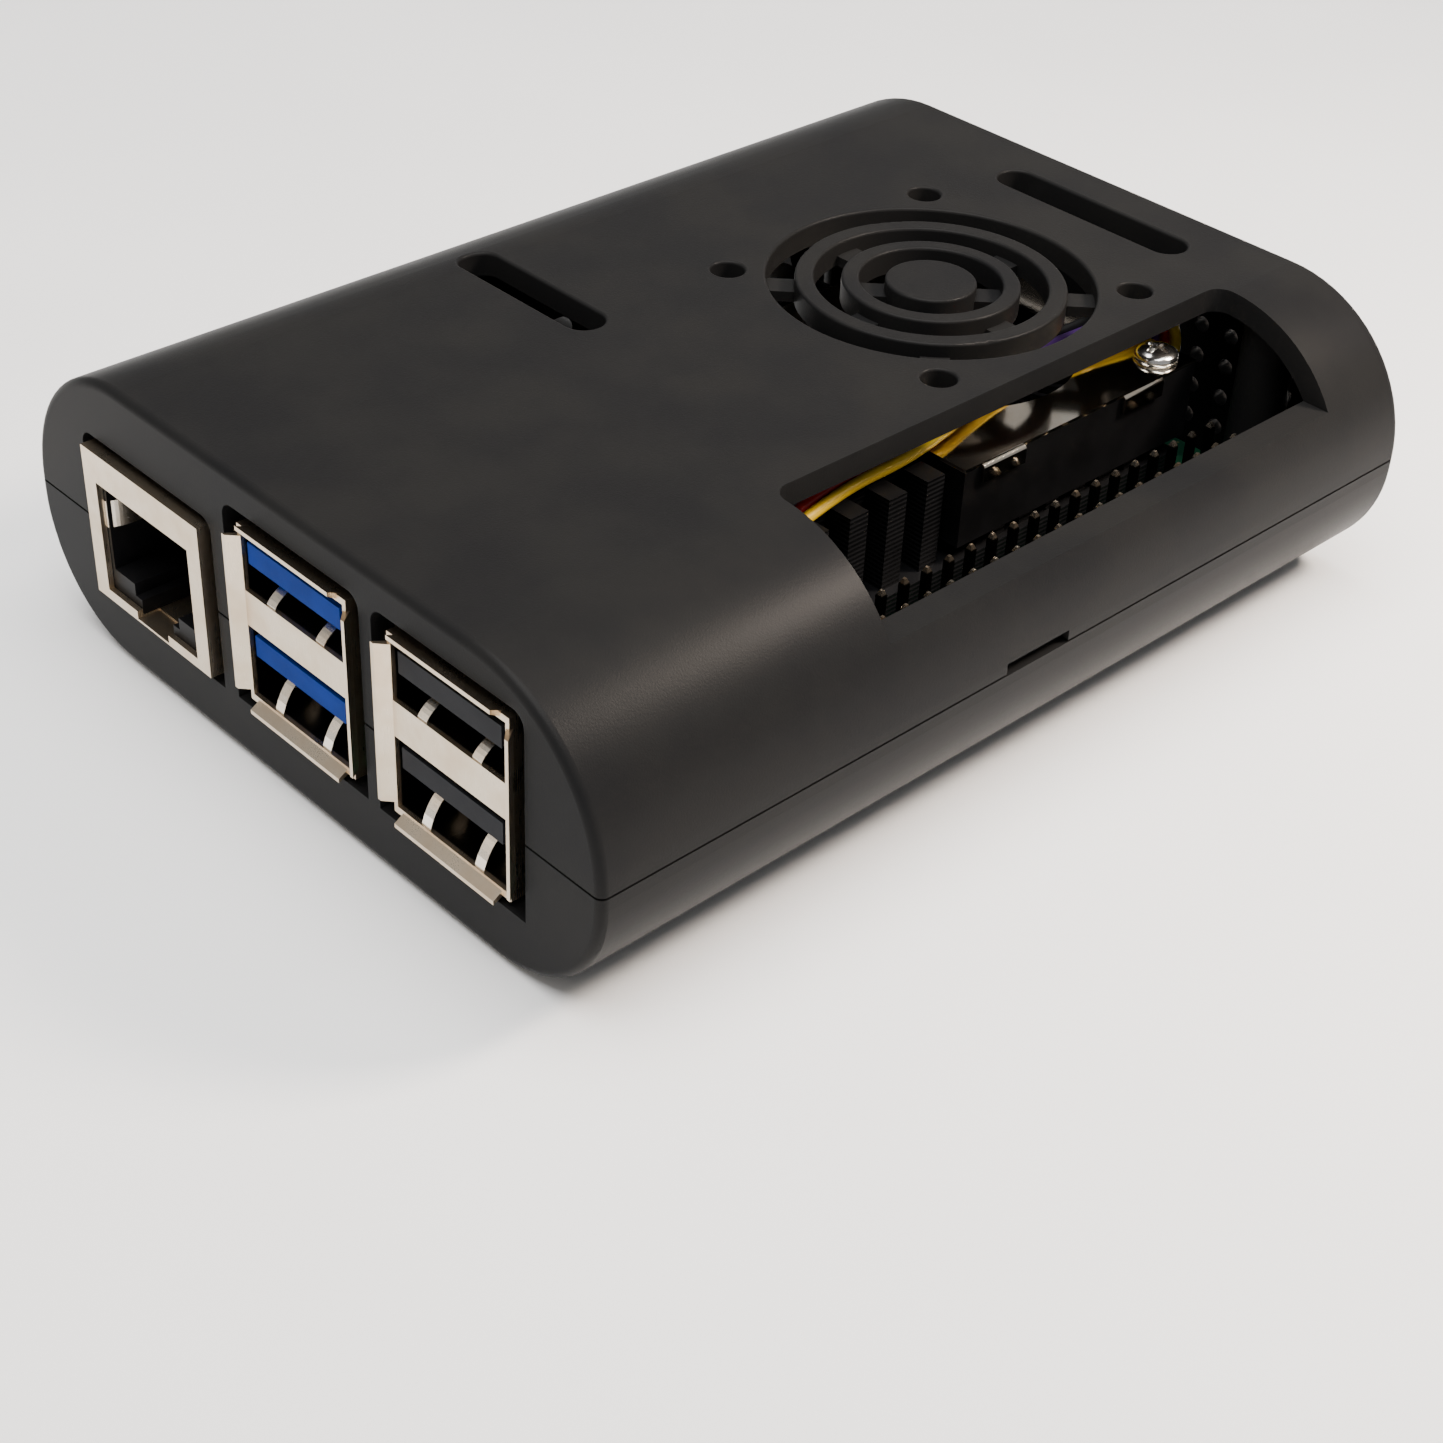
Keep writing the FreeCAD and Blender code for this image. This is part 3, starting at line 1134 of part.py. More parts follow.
def impeller():
    """The rotor: a hub cup, a disc, and curved blades set round it."""
    low = fin_top_up + s.blower_floor + s.rotor_gap
    part = body("impeller", blower_middle(low))
    pad(part, draw(part, "XY_Plane", as_size(0.0), [("circle", 0.0, 0.0, s.blade_outer)]), s.disc_thickness)
    pad(part, draw(part, "XY_Plane", s.disc_thickness - 0.1, [("circle", 0.0, 0.0, s.hub_radius)]),
        s.hub_height - s.disc_thickness + 0.1)
    inner = s.hub_radius - s.hub_sheet
    hollow = s.hub_height - s.hub_sheet
    pocket(part, draw(part, "XY_Plane", as_size(0.0), [("circle", 0.0, 0.0, inner)]), hollow, reverse=True)
    bend = as_size(5.0)
    reach = s.blade_outer - 0.05
    blade = [(s.blade_inner, -0.9, bend), (reach, 0.75), (reach - 0.12, 0.75 + s.blade_thickness, -bend),
             (s.blade_inner, s.blade_thickness - 0.9)]
    vane = pad(part, draw(part, "XY_Plane", s.disc_thickness - 0.1, [blade]), s.blade_height)
    ring = part.newObject("PartDesign::PolarPattern", "impeller_ring")
    ring.Originals = [vane]
    axis = [f for f in part.Origin.OriginFeatures if f.Role == "Z_Axis"][0]
    ring.Axis = (axis, [""])
    ring.Angle = 360
    ring.Occurrences = int(s.blade_count.number)
    part.Tip = ring
    doc.recompute()
    gap = 0.02
    outer = inner - gap
    magnet = rod("magnet_outer", blower_middle(low + 0.7), outer, hollow - 1.0)
    hole = rod("magnet_bore", blower_middle(low + 0.5), outer - s.magnet_thickness, hollow)
    cut("rotor_magnet", magnet, [hole])
    rod("fan_shaft", blower_middle(fin_top_up + s.blower_floor + 0.1), s.shaft_radius,
        low - fin_top_up - s.blower_floor - 0.1 + hollow)
    stator()


def stator():
    """Four wound poles round the bearing tube."""
    low = fin_top_up + s.blower_floor + 0.6
    ring = rod("stator_ring", blower_middle(low), s.tube_radius + 1.0, s.stator_height)
    place = blower_middle(low)
    reach = s.stator_radius
    width = as_size(2.6)
    bars = [centred("stator_bar", place, (reach * 2 * 0.96, width, s.stator_height)),
            centred("stator_bar", place, (width, reach * 2 * 0.96, s.stator_height))]
    bore = rod("stator_bore", blower_middle(low - 0.5), s.tube_radius + 0.02, s.stator_height + 1)
    cut("fan_stator", join("stator_whole", [ring] + bars), [bore])


def push_pins():
    """Sprung plastic pins that hold the cooler: a domed head, a stem and a barb under the board."""
    for side, (along, across) in zip(("left", "right"), stems()):
        tip = at(along, across, -s.board_thickness - s.barb_gap - s.barb_length)
        barb = cone("barb", tip, s.barb_radius * 0.4, s.barb_radius, s.barb_length)
        low = at(along, across, -s.board_thickness - s.barb_gap - 0.4)
        head_up = s.stem_head_low
        stem = rod("stem", low, s.stem_radius, head_up + s.board_thickness + s.barb_gap + 0.6)
        head = rod("stem_head", at(along, across, head_up), s.stem_head, s.stem_head_height - 0.6)
        dome = cone("stem_dome", at(along, across, head_up + s.stem_head_height - 0.6), s.stem_head,
                    s.stem_head - 0.8, as_size(0.6))
        join("push_pin_%s" % side, [barb, stem, head, dome])
        spring(side, along, across)


def spring(side, along, across):
    """A coil spring between the base and the pin's head, as one thin wire wound on a helix."""
    low = base_top_up + s.spring_wire + 0.05
    length = s.stem_head_low - low - s.spring_wire - 0.05
    turns = s.spring_turns.number
    path = Part.makeHelix(length.number / turns, length.number, s.spring_radius.number)
    start = Vector(s.spring_radius.number, 0, 0)
    ring = Part.Wire([Part.makeCircle(s.spring_wire.number, start, Vector(0, 1, 0))])
    coil = Part.Wire(path).makePipeShell([ring], True, True)
    obj = doc.addObject("Part::Feature", "pin_spring_%s" % side)
    obj.Shape = coil
    move(obj, at(along, across, low))


def fan_cable():
    """Four thin wires from the blower's corner over its cover to the fan socket, and their plug."""
    place = at(s.fan_socket_along, s.fan_socket_across, 1.5)
    plug = centred("fan_plug", place, (s.fan_socket_width - 1.1, s.fan_socket_length - 1.1, as_size(1.9)))
    route = (
        (8.6, 43.4, 7.4), (5.75, 43.4, 7.4), (3.6, 43.2, 9.4), (3.6, 43.0, 12.4), (5.7, 43.0, 14.5),
        (9.3, 43.2, 14.8), (14.6, 42.7, 14.4), (20.4, 42.2, 14.5), (26.2, 42.4, 14.3),
        (31.2, 43.4, 14.4), (36.0, 44.7, 14.5), (41.0, 45.3, 14.2), (46.0, 45.2, 14.1),
        (51.5, 46.1, 14.1), (56.5, 47.3, 14.1), (61.0, 47.8, 13.2), (64.9, 47.9, 11.2),
        (67.0, 47.75, 8.4), (67.6, 47.68, 5.7), (67.6, 47.68, 3.4),
    )
    names = ("yellow", "red", "purple", "black")
    for k, name in enumerate(names):
        shift = s.wire_pitch * k
        points = [at(along, across - shift, up) for along, across, up in route]
        wire_tube("fan_wire_%s" % name, points)
    return plug


def wire_tube(name, points):
    """A round tube along straight runs joined by tangent arcs, each as large as its runs allow."""
    spots = [Vector(*[v.number for v in point]) for point in points]
    radius = s.wire_diameter.number / 2
    edges = []
    here = spots[0]
    radii = []
    for k in range(1, len(spots) - 1):
        back, ahead = spots[k - 1] - spots[k], spots[k + 1] - spots[k]
        turn = math.pi - back.getAngle(ahead)
        shorter = min(back.Length, ahead.Length)
        cut_back = 0.45 * shorter
        bend = cut_back / math.tan(turn / 2)
        radii.append(bend)
        first = spots[k] + Vector(back).normalize() * cut_back
        last = spots[k] + Vector(ahead).normalize() * cut_back
        middle_way = (Vector(back).normalize() + Vector(ahead).normalize()).normalize()
        centre = spots[k] + middle_way * math.hypot(bend, cut_back)
        crown = centre - middle_way * bend
        edges.append(Part.LineSegment(here, first).toShape())
        edges.append(Part.Arc(first, crown, last).toShape())
        here = last
    edges.append(Part.LineSegment(here, spots[-1]).toShape())
    path = Part.Wire(edges)
    direction = spots[1] - spots[0]
    ring = Part.Wire([Part.makeCircle(radius, spots[0], direction)])
    tube = path.makePipeShell([ring], True, False)
    wanted = math.pi * radius * radius * path.Length
    if abs(tube.Volume / wanted - 1) > 0.01:
        raise RuntimeError("%s has the wrong volume" % name)
    print("%s: length %.1f mm, radii %s" % (name, path.Length, ", ".join("%.1f" % r for r in radii)))
    obj = doc.addObject("Part::Feature", name)
    obj.Shape = tube


# ---------------------------------------------------------------- assembly

for make in (top_cover, bottom_shell, rubber_feet, circuit_board, header, chips, small_parts,
             power_over_network_header,
             flat_connectors, sockets, power_key, memory_card, network_jack, power_port, display_ports,
             heatsink, thermal_pads, blower_housing, blower_plate, blower_fasteners, impeller, push_pins,
             fan_cable):
    make()
usb_stack("usb3", s.usb_three_across)
usb_stack("usb2", s.usb_two_across)
doc.recompute()

NODES = (
    "top_cover", "bottom_shell", "rubber_feet", "power_key", "circuit_board", "gpio_header_base", "gpio_pins",
    "processor_chip", "processor_lid", "memory_chip", "io_controller_chip", "power_chip", "wireless_can",
    "status_light", "power_switch_body", "power_switch_cap", "small_parts", "power_header",
    "ethernet_shield", "ethernet_insert", "ethernet_contacts", "usb3_shield", "usb3_tongues",
    "usb3_contacts", "usb2_shield", "usb2_tongues", "usb2_contacts", "usb_c_shell", "usb_c_tongue",
    "micro_hdmi_shells", "micro_hdmi_tongues", "camera_connectors", "camera_latch_near",
    "camera_latch_far", "flat_cable_connector", "flat_cable_latch", "fan_socket", "clock_socket",
    "debug_socket", "card_socket", "memory_card", "heatsink", "thermal_pads", "fan_housing",
    "fan_bearing", "fan_cover_plate", "fan_screws", "impeller", "rotor_magnet", "fan_shaft", "fan_stator",
    "push_pin_left", "push_pin_right", "pin_spring_left", "pin_spring_right", "fan_wire_yellow",
    "fan_wire_black", "fan_wire_purple", "fan_wire_red", "fan_plug",
)

for obj in doc.Objects:
    if any(word in obj.State for word in ("Invalid", "Error")):
        raise RuntimeError("%s is in state %s" % (obj.Name, obj.State))

os.makedirs("parts", exist_ok=True)
for name in NODES:
    obj = doc.getObject(name)
    obj.Label = name
    shape = obj.Shape
    if shape.isNull() or not shape.isValid():
        raise RuntimeError("%s has no valid shape" % name)
    if not shape.Solids:
        raise RuntimeError("%s has no solid" % name)
    shape.exportStep("parts/%s.step" % name)
print("%d sub-parts written" % len(NODES))
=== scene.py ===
import math

import bpy
import numpy as np
from mathutils import Matrix, Vector


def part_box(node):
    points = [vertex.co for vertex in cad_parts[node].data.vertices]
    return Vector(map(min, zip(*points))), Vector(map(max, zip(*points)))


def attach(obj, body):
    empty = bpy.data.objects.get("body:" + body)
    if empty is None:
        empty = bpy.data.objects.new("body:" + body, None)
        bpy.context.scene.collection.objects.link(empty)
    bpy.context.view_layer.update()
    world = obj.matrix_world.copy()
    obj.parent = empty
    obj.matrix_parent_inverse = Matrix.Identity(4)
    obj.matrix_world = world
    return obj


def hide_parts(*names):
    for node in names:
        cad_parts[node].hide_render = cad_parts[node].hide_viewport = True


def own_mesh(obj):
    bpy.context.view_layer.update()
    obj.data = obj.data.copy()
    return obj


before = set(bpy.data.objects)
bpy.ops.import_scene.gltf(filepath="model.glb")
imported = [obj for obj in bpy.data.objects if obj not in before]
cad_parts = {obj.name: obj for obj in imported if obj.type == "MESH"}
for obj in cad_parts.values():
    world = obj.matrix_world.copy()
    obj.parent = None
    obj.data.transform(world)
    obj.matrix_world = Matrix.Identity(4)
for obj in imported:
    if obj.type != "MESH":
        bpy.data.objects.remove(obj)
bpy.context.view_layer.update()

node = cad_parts
MM = 0.001

# ---- Camera, table and lights ------------------------------------------------------------------
# The closed case stands on a plain pale table, its ports towards the viewer's left and the header
# window towards the right. A large soft box lights it from above, a small warm one behind the window
# side lights the shoulder, and a weak one lights the ports.
camera_place = Vector((125.04, 125.81, 117.44)) * MM
camera_azimuth = math.radians(135.16)
camera_elevation = math.radians(36.50)
camera_roll = math.radians(2.906)
towards_camera = Vector((
    math.sin(camera_azimuth) * math.cos(camera_elevation),
    -math.cos(camera_azimuth) * math.cos(camera_elevation),
    math.sin(camera_elevation),
))
level_right = Vector((math.cos(camera_azimuth), math.sin(camera_azimuth), 0.0))
level_up = towards_camera.cross(level_right)
right = math.cos(camera_roll) * level_right + math.sin(camera_roll) * level_up
up = math.cos(camera_roll) * level_up - math.sin(camera_roll) * level_right
lens = bpy.data.cameras.new("studio_camera")
lens.sensor_width = 36.0
lens.lens = 61.3
lens.clip_start = 0.01
camera = bpy.data.objects.new("studio_camera", lens)
camera.matrix_world = Matrix.Translation(camera_place) @ Matrix(
    (right, up, towards_camera)).transposed().to_4x4()
bpy.context.scene.collection.objects.link(camera)
bpy.context.scene.camera = camera


class Wire:
    """A socket of a material's node tree. Sums and products of it add Math nodes."""

    def __init__(self, tree, socket):
        self.tree = tree
        self.socket = socket

    def node(self, kind, out=0, settings=None, **links):
        """Any node: its settings first, then values or links by socket name, with _ for a space,
        or by i and the socket's number."""
        made = self.tree.nodes.new(kind)
        for name, value in (settings or {}).items():
            setattr(made, name, value)
        for name, value in links.items():
            key = int(name[1:]) if name[0] == "i" and name[1:].isdigit() else name.replace("_", " ")
            self.feed(made.inputs[key], value)
        return Wire(self.tree, made.outputs[out])

    def feed(self, target, value):
        """Puts a link or a plain value into a socket."""
        if isinstance(value, Wire):
            self.tree.links.new(value.socket, target)
        else:
            target.default_value = value

    def sum(self, operation, *others):
        """A Math node on self and the others."""
        return self.node("ShaderNodeMath", settings={"operation": operation},
                         i0=self, **{f"i{k + 1}": other for k, other in enumerate(others)})

    def __add__(self, other):
        return self.sum("ADD", other)

    __radd__ = __add__

    def __mul__(self, other):
        return self.sum("MULTIPLY", other)

    __rmul__ = __mul__

    def __sub__(self, other):
        return self.sum("SUBTRACT", other)

    def __rsub__(self, other):
        return self.sum("MULTIPLY_ADD", -1.0, other)

    def above(self, low, high):
        """Zero below low, one above high, and smooth between them."""
        return self.node("ShaderNodeMapRange", settings={"interpolation_type": "SMOOTHSTEP"},
                         Value=self, From_Min=low, From_Max=high)

    def mix(self, first, second):
        """A colour between first, where self is zero, and second, where it is one."""
        return self.node("ShaderNodeMix", out=2, settings={"data_type": "RGBA"},
                         i0=self, i6=first, i7=second)


def colour(red, green, blue):
    return (red, green, blue, 1.0)


def finish(name, **plain):
    """A new material: its place wire, on Object coordinates, and its Principled shader."""
    material = bpy.data.materials.new(name)
    material.use_nodes = True
    tree = material.node_tree
    shader = tree.nodes["Principled BSDF"]
    for socket, value in plain.items():
        shader.inputs[socket.replace("_", " ")].default_value = value
    place = Wire(tree, tree.nodes.new("ShaderNodeTexCoord").outputs["Object"])
    return material, place, shader


def speckle(place, grain, detail=2.0, roughness=0.5):
    """Even noise whose blobs are about grain metres wide."""
    return place.node("ShaderNodeTexNoise", Vector=place, Scale=1.0 / grain, Detail=detail,
                      Roughness=roughness)


def brushed(place, across, along, axis=0):
    """Noise stretched along one axis: fine rolling or brushing lines in sheet metal."""
    scale = [1.0 / across] * 3
    scale[axis] = 1.0 / along
    stretched = place.node("ShaderNodeMapping", Vector=place, Scale=tuple(scale))
    return place.node("ShaderNodeTexNoise", Vector=stretched, Scale=1.0, Detail=3.0, Roughness=0.6)


def raise_surface(place, shader, height, depth):
    """A height in metres, from zero to one times depth, as a bump on the shader."""
    bump = place.node("ShaderNodeBump", Strength=1.0, Distance=depth, Height=height)
    place.feed(shader.inputs["Normal"], bump)


def dress(material, *names):
    """Gives CAD nodes one material."""
    for name in names:
        mesh = node[name].data
        mesh.materials.clear()
        mesh.materials.append(material)


def surface(name, points, around=False, cap=False):
    """A mesh from a grid of points, of shape rows x columns x 3, its faces facing the side where the
    columns run anticlockwise as the rows advance. around joins the last column to the first, and cap
    closes the first and last rows."""
    rows, columns = points.shape[:2]
    index = np.arange(rows * columns).reshape(rows, columns)
    if around:
        index = np.concatenate([index, index[:, :1]], axis=1)
    quads = np.stack([index[:-1, :-1], index[:-1, 1:], index[1:, 1:], index[1:, :-1]], axis=-1)
    faces = quads.reshape(-1, 4).tolist()
    if cap:
        faces.append(index[0, :columns][::-1].tolist())
        faces.append(index[-1, :columns].tolist())
    mesh = bpy.data.meshes.new(name)
    mesh.from_pydata(points.reshape(-1, 3).tolist(), [], faces)
    mesh.update()
    return mesh


def several(name, meshes, body, material, smooth=True):
    """Meshes joined into one piece that rides on a body."""
    joined = bpy.data.meshes.new(name)
    places, faces, start = [], [], 0
    for mesh in meshes:
        co = np.empty(len(mesh.vertices) * 3)
        mesh.vertices.foreach_get("co", co)
        places.append(co.reshape(-1, 3))
        faces += [[start + v for v in polygon.vertices] for polygon in mesh.polygons]
        start += len(mesh.vertices)
        bpy.data.meshes.remove(mesh)
    joined.from_pydata(np.concatenate(places).tolist(), [], faces)
    joined.update()
    joined.polygons.foreach_set("use_smooth", [smooth] * len(joined.polygons))
    piece = bpy.data.objects.new(name, joined)
    bpy.context.scene.collection.objects.link(piece)
    joined.materials.append(material)
    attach(piece, body)
    return piece


table_finish, place, shader = finish("table_paint", Roughness=0.6)
tone = speckle(place, 0.05).above(0.3, 0.7)
place.feed(shader.inputs["Base Color"], tone.mix(colour(0.89, 0.89, 0.89), colour(0.92, 0.92, 0.92)))
table_front = -1.6
bend_start = 1.0
bend_radius = 0.8
wall_top = 2.6
half_width = 1.8
sweep = np.linspace(0.0, math.pi / 2, 17)[1:]
ahead = np.concatenate([[table_front, bend_start], bend_start + bend_radius * np.sin(sweep),
                        [bend_start + bend_radius]])
rise = np.concatenate([[0.0, 0.0], bend_radius * (1 - np.cos(sweep)), [wall_top]])
along, across = np.meshgrid(ahead, np.array([half_width, -half_width]), indexing="ij")
height = np.repeat(rise[:, None], 2, axis=1)
away = np.array([-towards_camera.x, -towards_camera.y, 0.0])
away /= np.linalg.norm(away)
side = np.array([-away[1], away[0], 0.0])
backdrop = along[..., None] * away + across[..., None] * side
backdrop[..., 2] = height
table = bpy.data.objects.new("table", surface("table", backdrop))
table.data.materials.append(table_finish)
table.data.polygons.foreach_set("use_smooth", [True] * len(table.data.polygons))
bpy.context.scene.collection.objects.link(table)

world = bpy.data.worlds.new("studio")
bpy.context.scene.world = world
world.use_nodes = True
world.node_tree.nodes["Background"].inputs["Color"].default_value = (1.0, 1.0, 1.0, 1.0)
world.node_tree.nodes["Background"].inputs["Strength"].default_value = 0.30

lamp_target = Vector((0.01, 0.01, 0.012))
for name, spot, size, power, warmth in (
        ("overhead_box", (0.10, 0.05, 0.75), (0.7, 0.7), 13.0, (1.0, 0.99, 0.98)),
        ("shoulder_box", (-0.115, 0.110, 0.165), (0.045, 0.05), 0.85, (1.0, 0.86, 0.74)),
        ("port_box", (0.55, -0.25, 0.28), (0.4, 0.4), 0.6, (1.0, 0.88, 0.76))):
    lamp = bpy.data.lights.new(name, "AREA")
    lamp.shape = "RECTANGLE"
    lamp.size, lamp.size_y = size
    lamp.energy = power
    lamp.color = warmth
    holder = bpy.data.objects.new(name, lamp)
    holder.location = spot
    holder.rotation_euler = (lamp_target - Vector(spot)).to_track_quat("-Z", "Y").to_euler()
    bpy.context.scene.collection.objects.link(holder)

# ---- Case --------------------------------------------------------------------------------------
# Two injection-moulded shells in black plastic with a fine satin grain. The cover drops over the
# tray's locating lip and snaps shut; it can be lifted straight off.
case_finish, place, shader = finish("case_plastic", Specular_IOR_Level=0.045)
cloud = speckle(place, 9 * MM, 3.0)
grain = speckle(place, 0.16 * MM, 3.0, 0.6)
place.feed(shader.inputs["Base Color"],
           cloud.above(0.3, 0.7).mix(colour(0.0100, 0.0100, 0.0104), colour(0.0125, 0.0123, 0.0121)))
place.feed(shader.inputs["Roughness"], 0.31 + 0.07 * cloud + 0.05 * grain)
raise_surface(place, shader, grain, 0.012 * MM)
dress(case_finish, "top_cover", "bottom_shell")

# ---- Feet ----------------------------------------------------------------------------------------
# Four thin self-adhesive rubber discs stuck under the tray. The rubber is dull and picks up dust.
foot_rubber, place, shader = finish("foot_rubber", Specular_IOR_Level=0.3)
dust = speckle(place, 0.5 * MM, 3.0)
place.feed(shader.inputs["Base Color"],
           dust.mix(colour(0.012, 0.012, 0.012), colour(0.030, 0.029, 0.028)))
place.feed(shader.inputs["Roughness"], 0.65 + 0.2 * dust)
raise_surface(place, shader, dust, 0.02 * MM)
dress(foot_rubber, "rubber_feet")

# ---- Power key -----------------------------------------------------------------------------------
# A frosted plastic plunger, moulded in one piece. It slides in a hole in the case's end wall and
# presses the switch on the board.
key_finish, place, shader = finish("key_plastic", Roughness=0.35)
frost = speckle(place, 0.4 * MM)
place.feed(shader.inputs["Base Color"],
           frost.mix(colour(0.62, 0.63, 0.64), colour(0.72, 0.73, 0.74)))
raise_surface(place, shader, frost, 0.01 * MM)
dress(key_finish, "power_key")

# ---- Circuit board -----------------------------------------------------------------------------
# A glass-fibre board under solder mask. Copper tracks and small round vias show faintly through the
# mask.
board_low, board_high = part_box("circuit_board")
mask_finish, place, shader = finish("solder_mask", Coat_Weight=0.3, Coat_Roughness=0.15)
weave = place.node("ShaderNodeTexBrick", Vector=place, Scale=330.0, Mortar_Size=0.16,
                   Mortar_Smooth=0.4, Color1=colour(0, 0, 0), Color2=colour(0, 0, 0),
                   Mortar=colour(1, 1, 1))
patch = speckle(place, 5 * MM, 1.0).above(0.46, 0.52)
vias = 1 - place.node("ShaderNodeTexVoronoi", Vector=place, Scale=420.0, Randomness=0.9).above(0.10, 0.14)
copper = weave * patch
masked = copper.mix(colour(0.006, 0.055, 0.030), colour(0.012, 0.11, 0.052))
masked = vias.mix(masked, colour(0.30, 0.24, 0.10))
place.feed(shader.inputs["Base Color"], masked)
place.feed(shader.inputs["Roughness"], 0.30 + 0.12 * speckle(place, 1.5 * MM))
raise_surface(place, shader, copper + vias * 0.4, 0.03 * MM)
dress(mask_finish, "circuit_board")

# ---- Plastic connector bodies, chips and small parts ---------------------------------------------
# Glass-filled nylon housings in black and off-white, moulded chip packages, ceramic parts.
def moulded(name, base, spread, roughness, grain_size, depth, **plain):
    """Moulded plastic: a base colour that drifts by spread, and a fine grain."""
    material, place, shader = finish(name, **plain)
    drift = speckle(place, grain_size * 14)
    grain = speckle(place, grain_size, 3.0, 0.6)
    pale = tuple(min(1.0, channel * (1 + spread)) for channel in base)
    dark = tuple(channel * (1 - spread) for channel in base)
    place.feed(shader.inputs["Base Color"], drift.above(0.3, 0.7).mix(colour(*dark), colour(*pale)))
    place.feed(shader.inputs["Roughness"], roughness - 0.05 + 0.1 * grain)
    raise_surface(place, shader, grain, depth)
    return material


nylon_black = moulded("nylon_black", (0.005, 0.005, 0.0055), 0.2, 0.42, 0.15 * MM, 0.010 * MM,
                      Specular_IOR_Level=0.12)
nylon_white = moulded("nylon_white", (0.76, 0.73, 0.66), 0.05, 0.45, 0.2 * MM, 0.008 * MM,
                      Subsurface_Weight=0.15, Subsurface_Scale=0.0006)
nylon_brown = moulded("nylon_brown", (0.055, 0.045, 0.040), 0.2, 0.45, 0.15 * MM, 0.008 * MM)
chip_epoxy = moulded("chip_epoxy", (0.020, 0.020, 0.022), 0.15, 0.55, 0.08 * MM, 0.012 * MM)
ceramic = moulded("ceramic", (0.24, 0.165, 0.105), 0.35, 0.5, 0.3 * MM, 0.01 * MM)
dress(nylon_black, "gpio_header_base", "power_header", "ethernet_insert", "usb_c_tongue",
      "micro_hdmi_tongues", "power_switch_cap", "memory_card")
dress(nylon_white, "fan_socket", "clock_socket", "debug_socket", "camera_connectors",
      "flat_cable_connector", "fan_plug")
dress(nylon_brown, "camera_latch_near", "camera_latch_far", "flat_cable_latch")
dress(chip_epoxy, "processor_chip", "memory_chip", "io_controller_chip", "power_chip")
dress(ceramic, "small_parts")

lens_finish, place, shader = finish("light_lens", Roughness=0.2, Transmission_Weight=0.5)
haze = speckle(place, 0.3 * MM)
place.feed(shader.inputs["Base Color"], haze.mix(colour(0.75, 0.85, 0.66), colour(0.85, 0.9, 0.78)))
dress(lens_finish, "status_light")

# ---- Sheet metal: port shields, cans, lids --------------------------------------------------------
# Stamped steel under bright tin or nickel. The rolling direction shows as fine lines, and handling
# has left the plate slightly uneven.
def plated(name, base, roughness, line, run, axis, depth, tarnish=0.12, painted_shade_box=None):
    """Plated sheet: a metal colour with cloudy tarnish, and brushing lines in roughness and height.
    The box given as its last argument is two corners: inside it the colour is darkened to a twenty-fifth
    of the base, as painted shade.
    The change takes a sixth of a millimetre inside each face of the box."""
    material, place, shader = finish(name, Metallic=1.0)
    cloud = speckle(place, 3.5 * MM, 3.0, 0.6)
    lines = brushed(place, line, run, axis)
    dull = tuple(channel * (1 - tarnish * (1 + 0.5 * k)) for k, channel in enumerate(base))
    tone = cloud.above(0.35, 0.75).mix(colour(*base), colour(*dull))
    # Painted shade: inside the box the plated colour is darkened to 0.04 of itself.
    if painted_shade_box:
        ease = MM / 6
        inside = 1.0
        for axis_out, (low, high) in enumerate(zip(*painted_shade_box)):
            where = place.node("ShaderNodeSeparateXYZ", out=axis_out, Vector=place)
            inside = where.above(low, low + ease) * (1 - where.above(high - ease, high)) * inside
        shade_colour = colour(*(0.04 * channel for channel in base))
        tone = inside.mix(tone, shade_colour)
    place.feed(shader.inputs["Base Color"], tone)
    place.feed(shader.inputs["Roughness"], roughness + 0.10 * cloud + 0.10 * (lines - 0.5))
    raise_surface(place, shader, lines, depth)
    return material


tin = dict(base=(0.72, 0.61, 0.47), roughness=0.24, line=0.06 * MM, run=3 * MM, axis=2,
           depth=0.003 * MM)
tin_sheet = plated("tin_sheet", **tin)
dress(tin_sheet, "ethernet_shield")
sheet_skin = 0.2 * MM
mouth_depth = 1.1 * MM
side_flare = 0.85 * MM
end_flare = 0.5 * MM
skin = np.array([sheet_skin, side_flare + sheet_skin, end_flare + sheet_skin])
mouth = np.array([mouth_depth, side_flare + sheet_skin, end_flare + sheet_skin])
# Painted shade: each USB shield's colour is darkened inside a box round its bays, from 1.1 mm behind the
# mouth backwards; the mouth and the outer faces stay bright tin.
for port in ("usb3", "usb2"):
    low, high = (np.array(corner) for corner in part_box(port + "_shield"))
    inside_shaded_tin = plated("tin_" + port, painted_shade_box=((low + skin).tolist(), (high - mouth).tolist()), **tin)
    dress(inside_shaded_tin, port + "_shield")
nickel_can = plated("nickel_can", (0.70, 0.69, 0.66), 0.26, 0.05 * MM, 2 * MM, 0, 0.003 * MM)
dress(nickel_can, "usb_c_shell", "micro_hdmi_shells", "wireless_can", "processor_lid", "card_socket",
      "power_switch_body")

gold_plate = plated("gold_plate", (0.90, 0.67, 0.30), 0.20, 0.04 * MM, 1 * MM, 0, 0.002 * MM, 0.2)
dress(gold_plate, "ethernet_contacts", "usb3_contacts", "usb2_contacts")

blue_insert = moulded("blue_insert", (0.001, 0.026, 0.20), 0.12, 0.50, 0.2 * MM, 0.006 * MM,
                      Specular_IOR_Level=0.05)
grey_insert = moulded("grey_insert", (0.014, 0.015, 0.018), 0.12, 0.50, 0.2 * MM, 0.006 * MM,
                      Specular_IOR_Level=0.08)
dress(blue_insert, "usb3_tongues")
dress(grey_insert, "usb2_tongues")

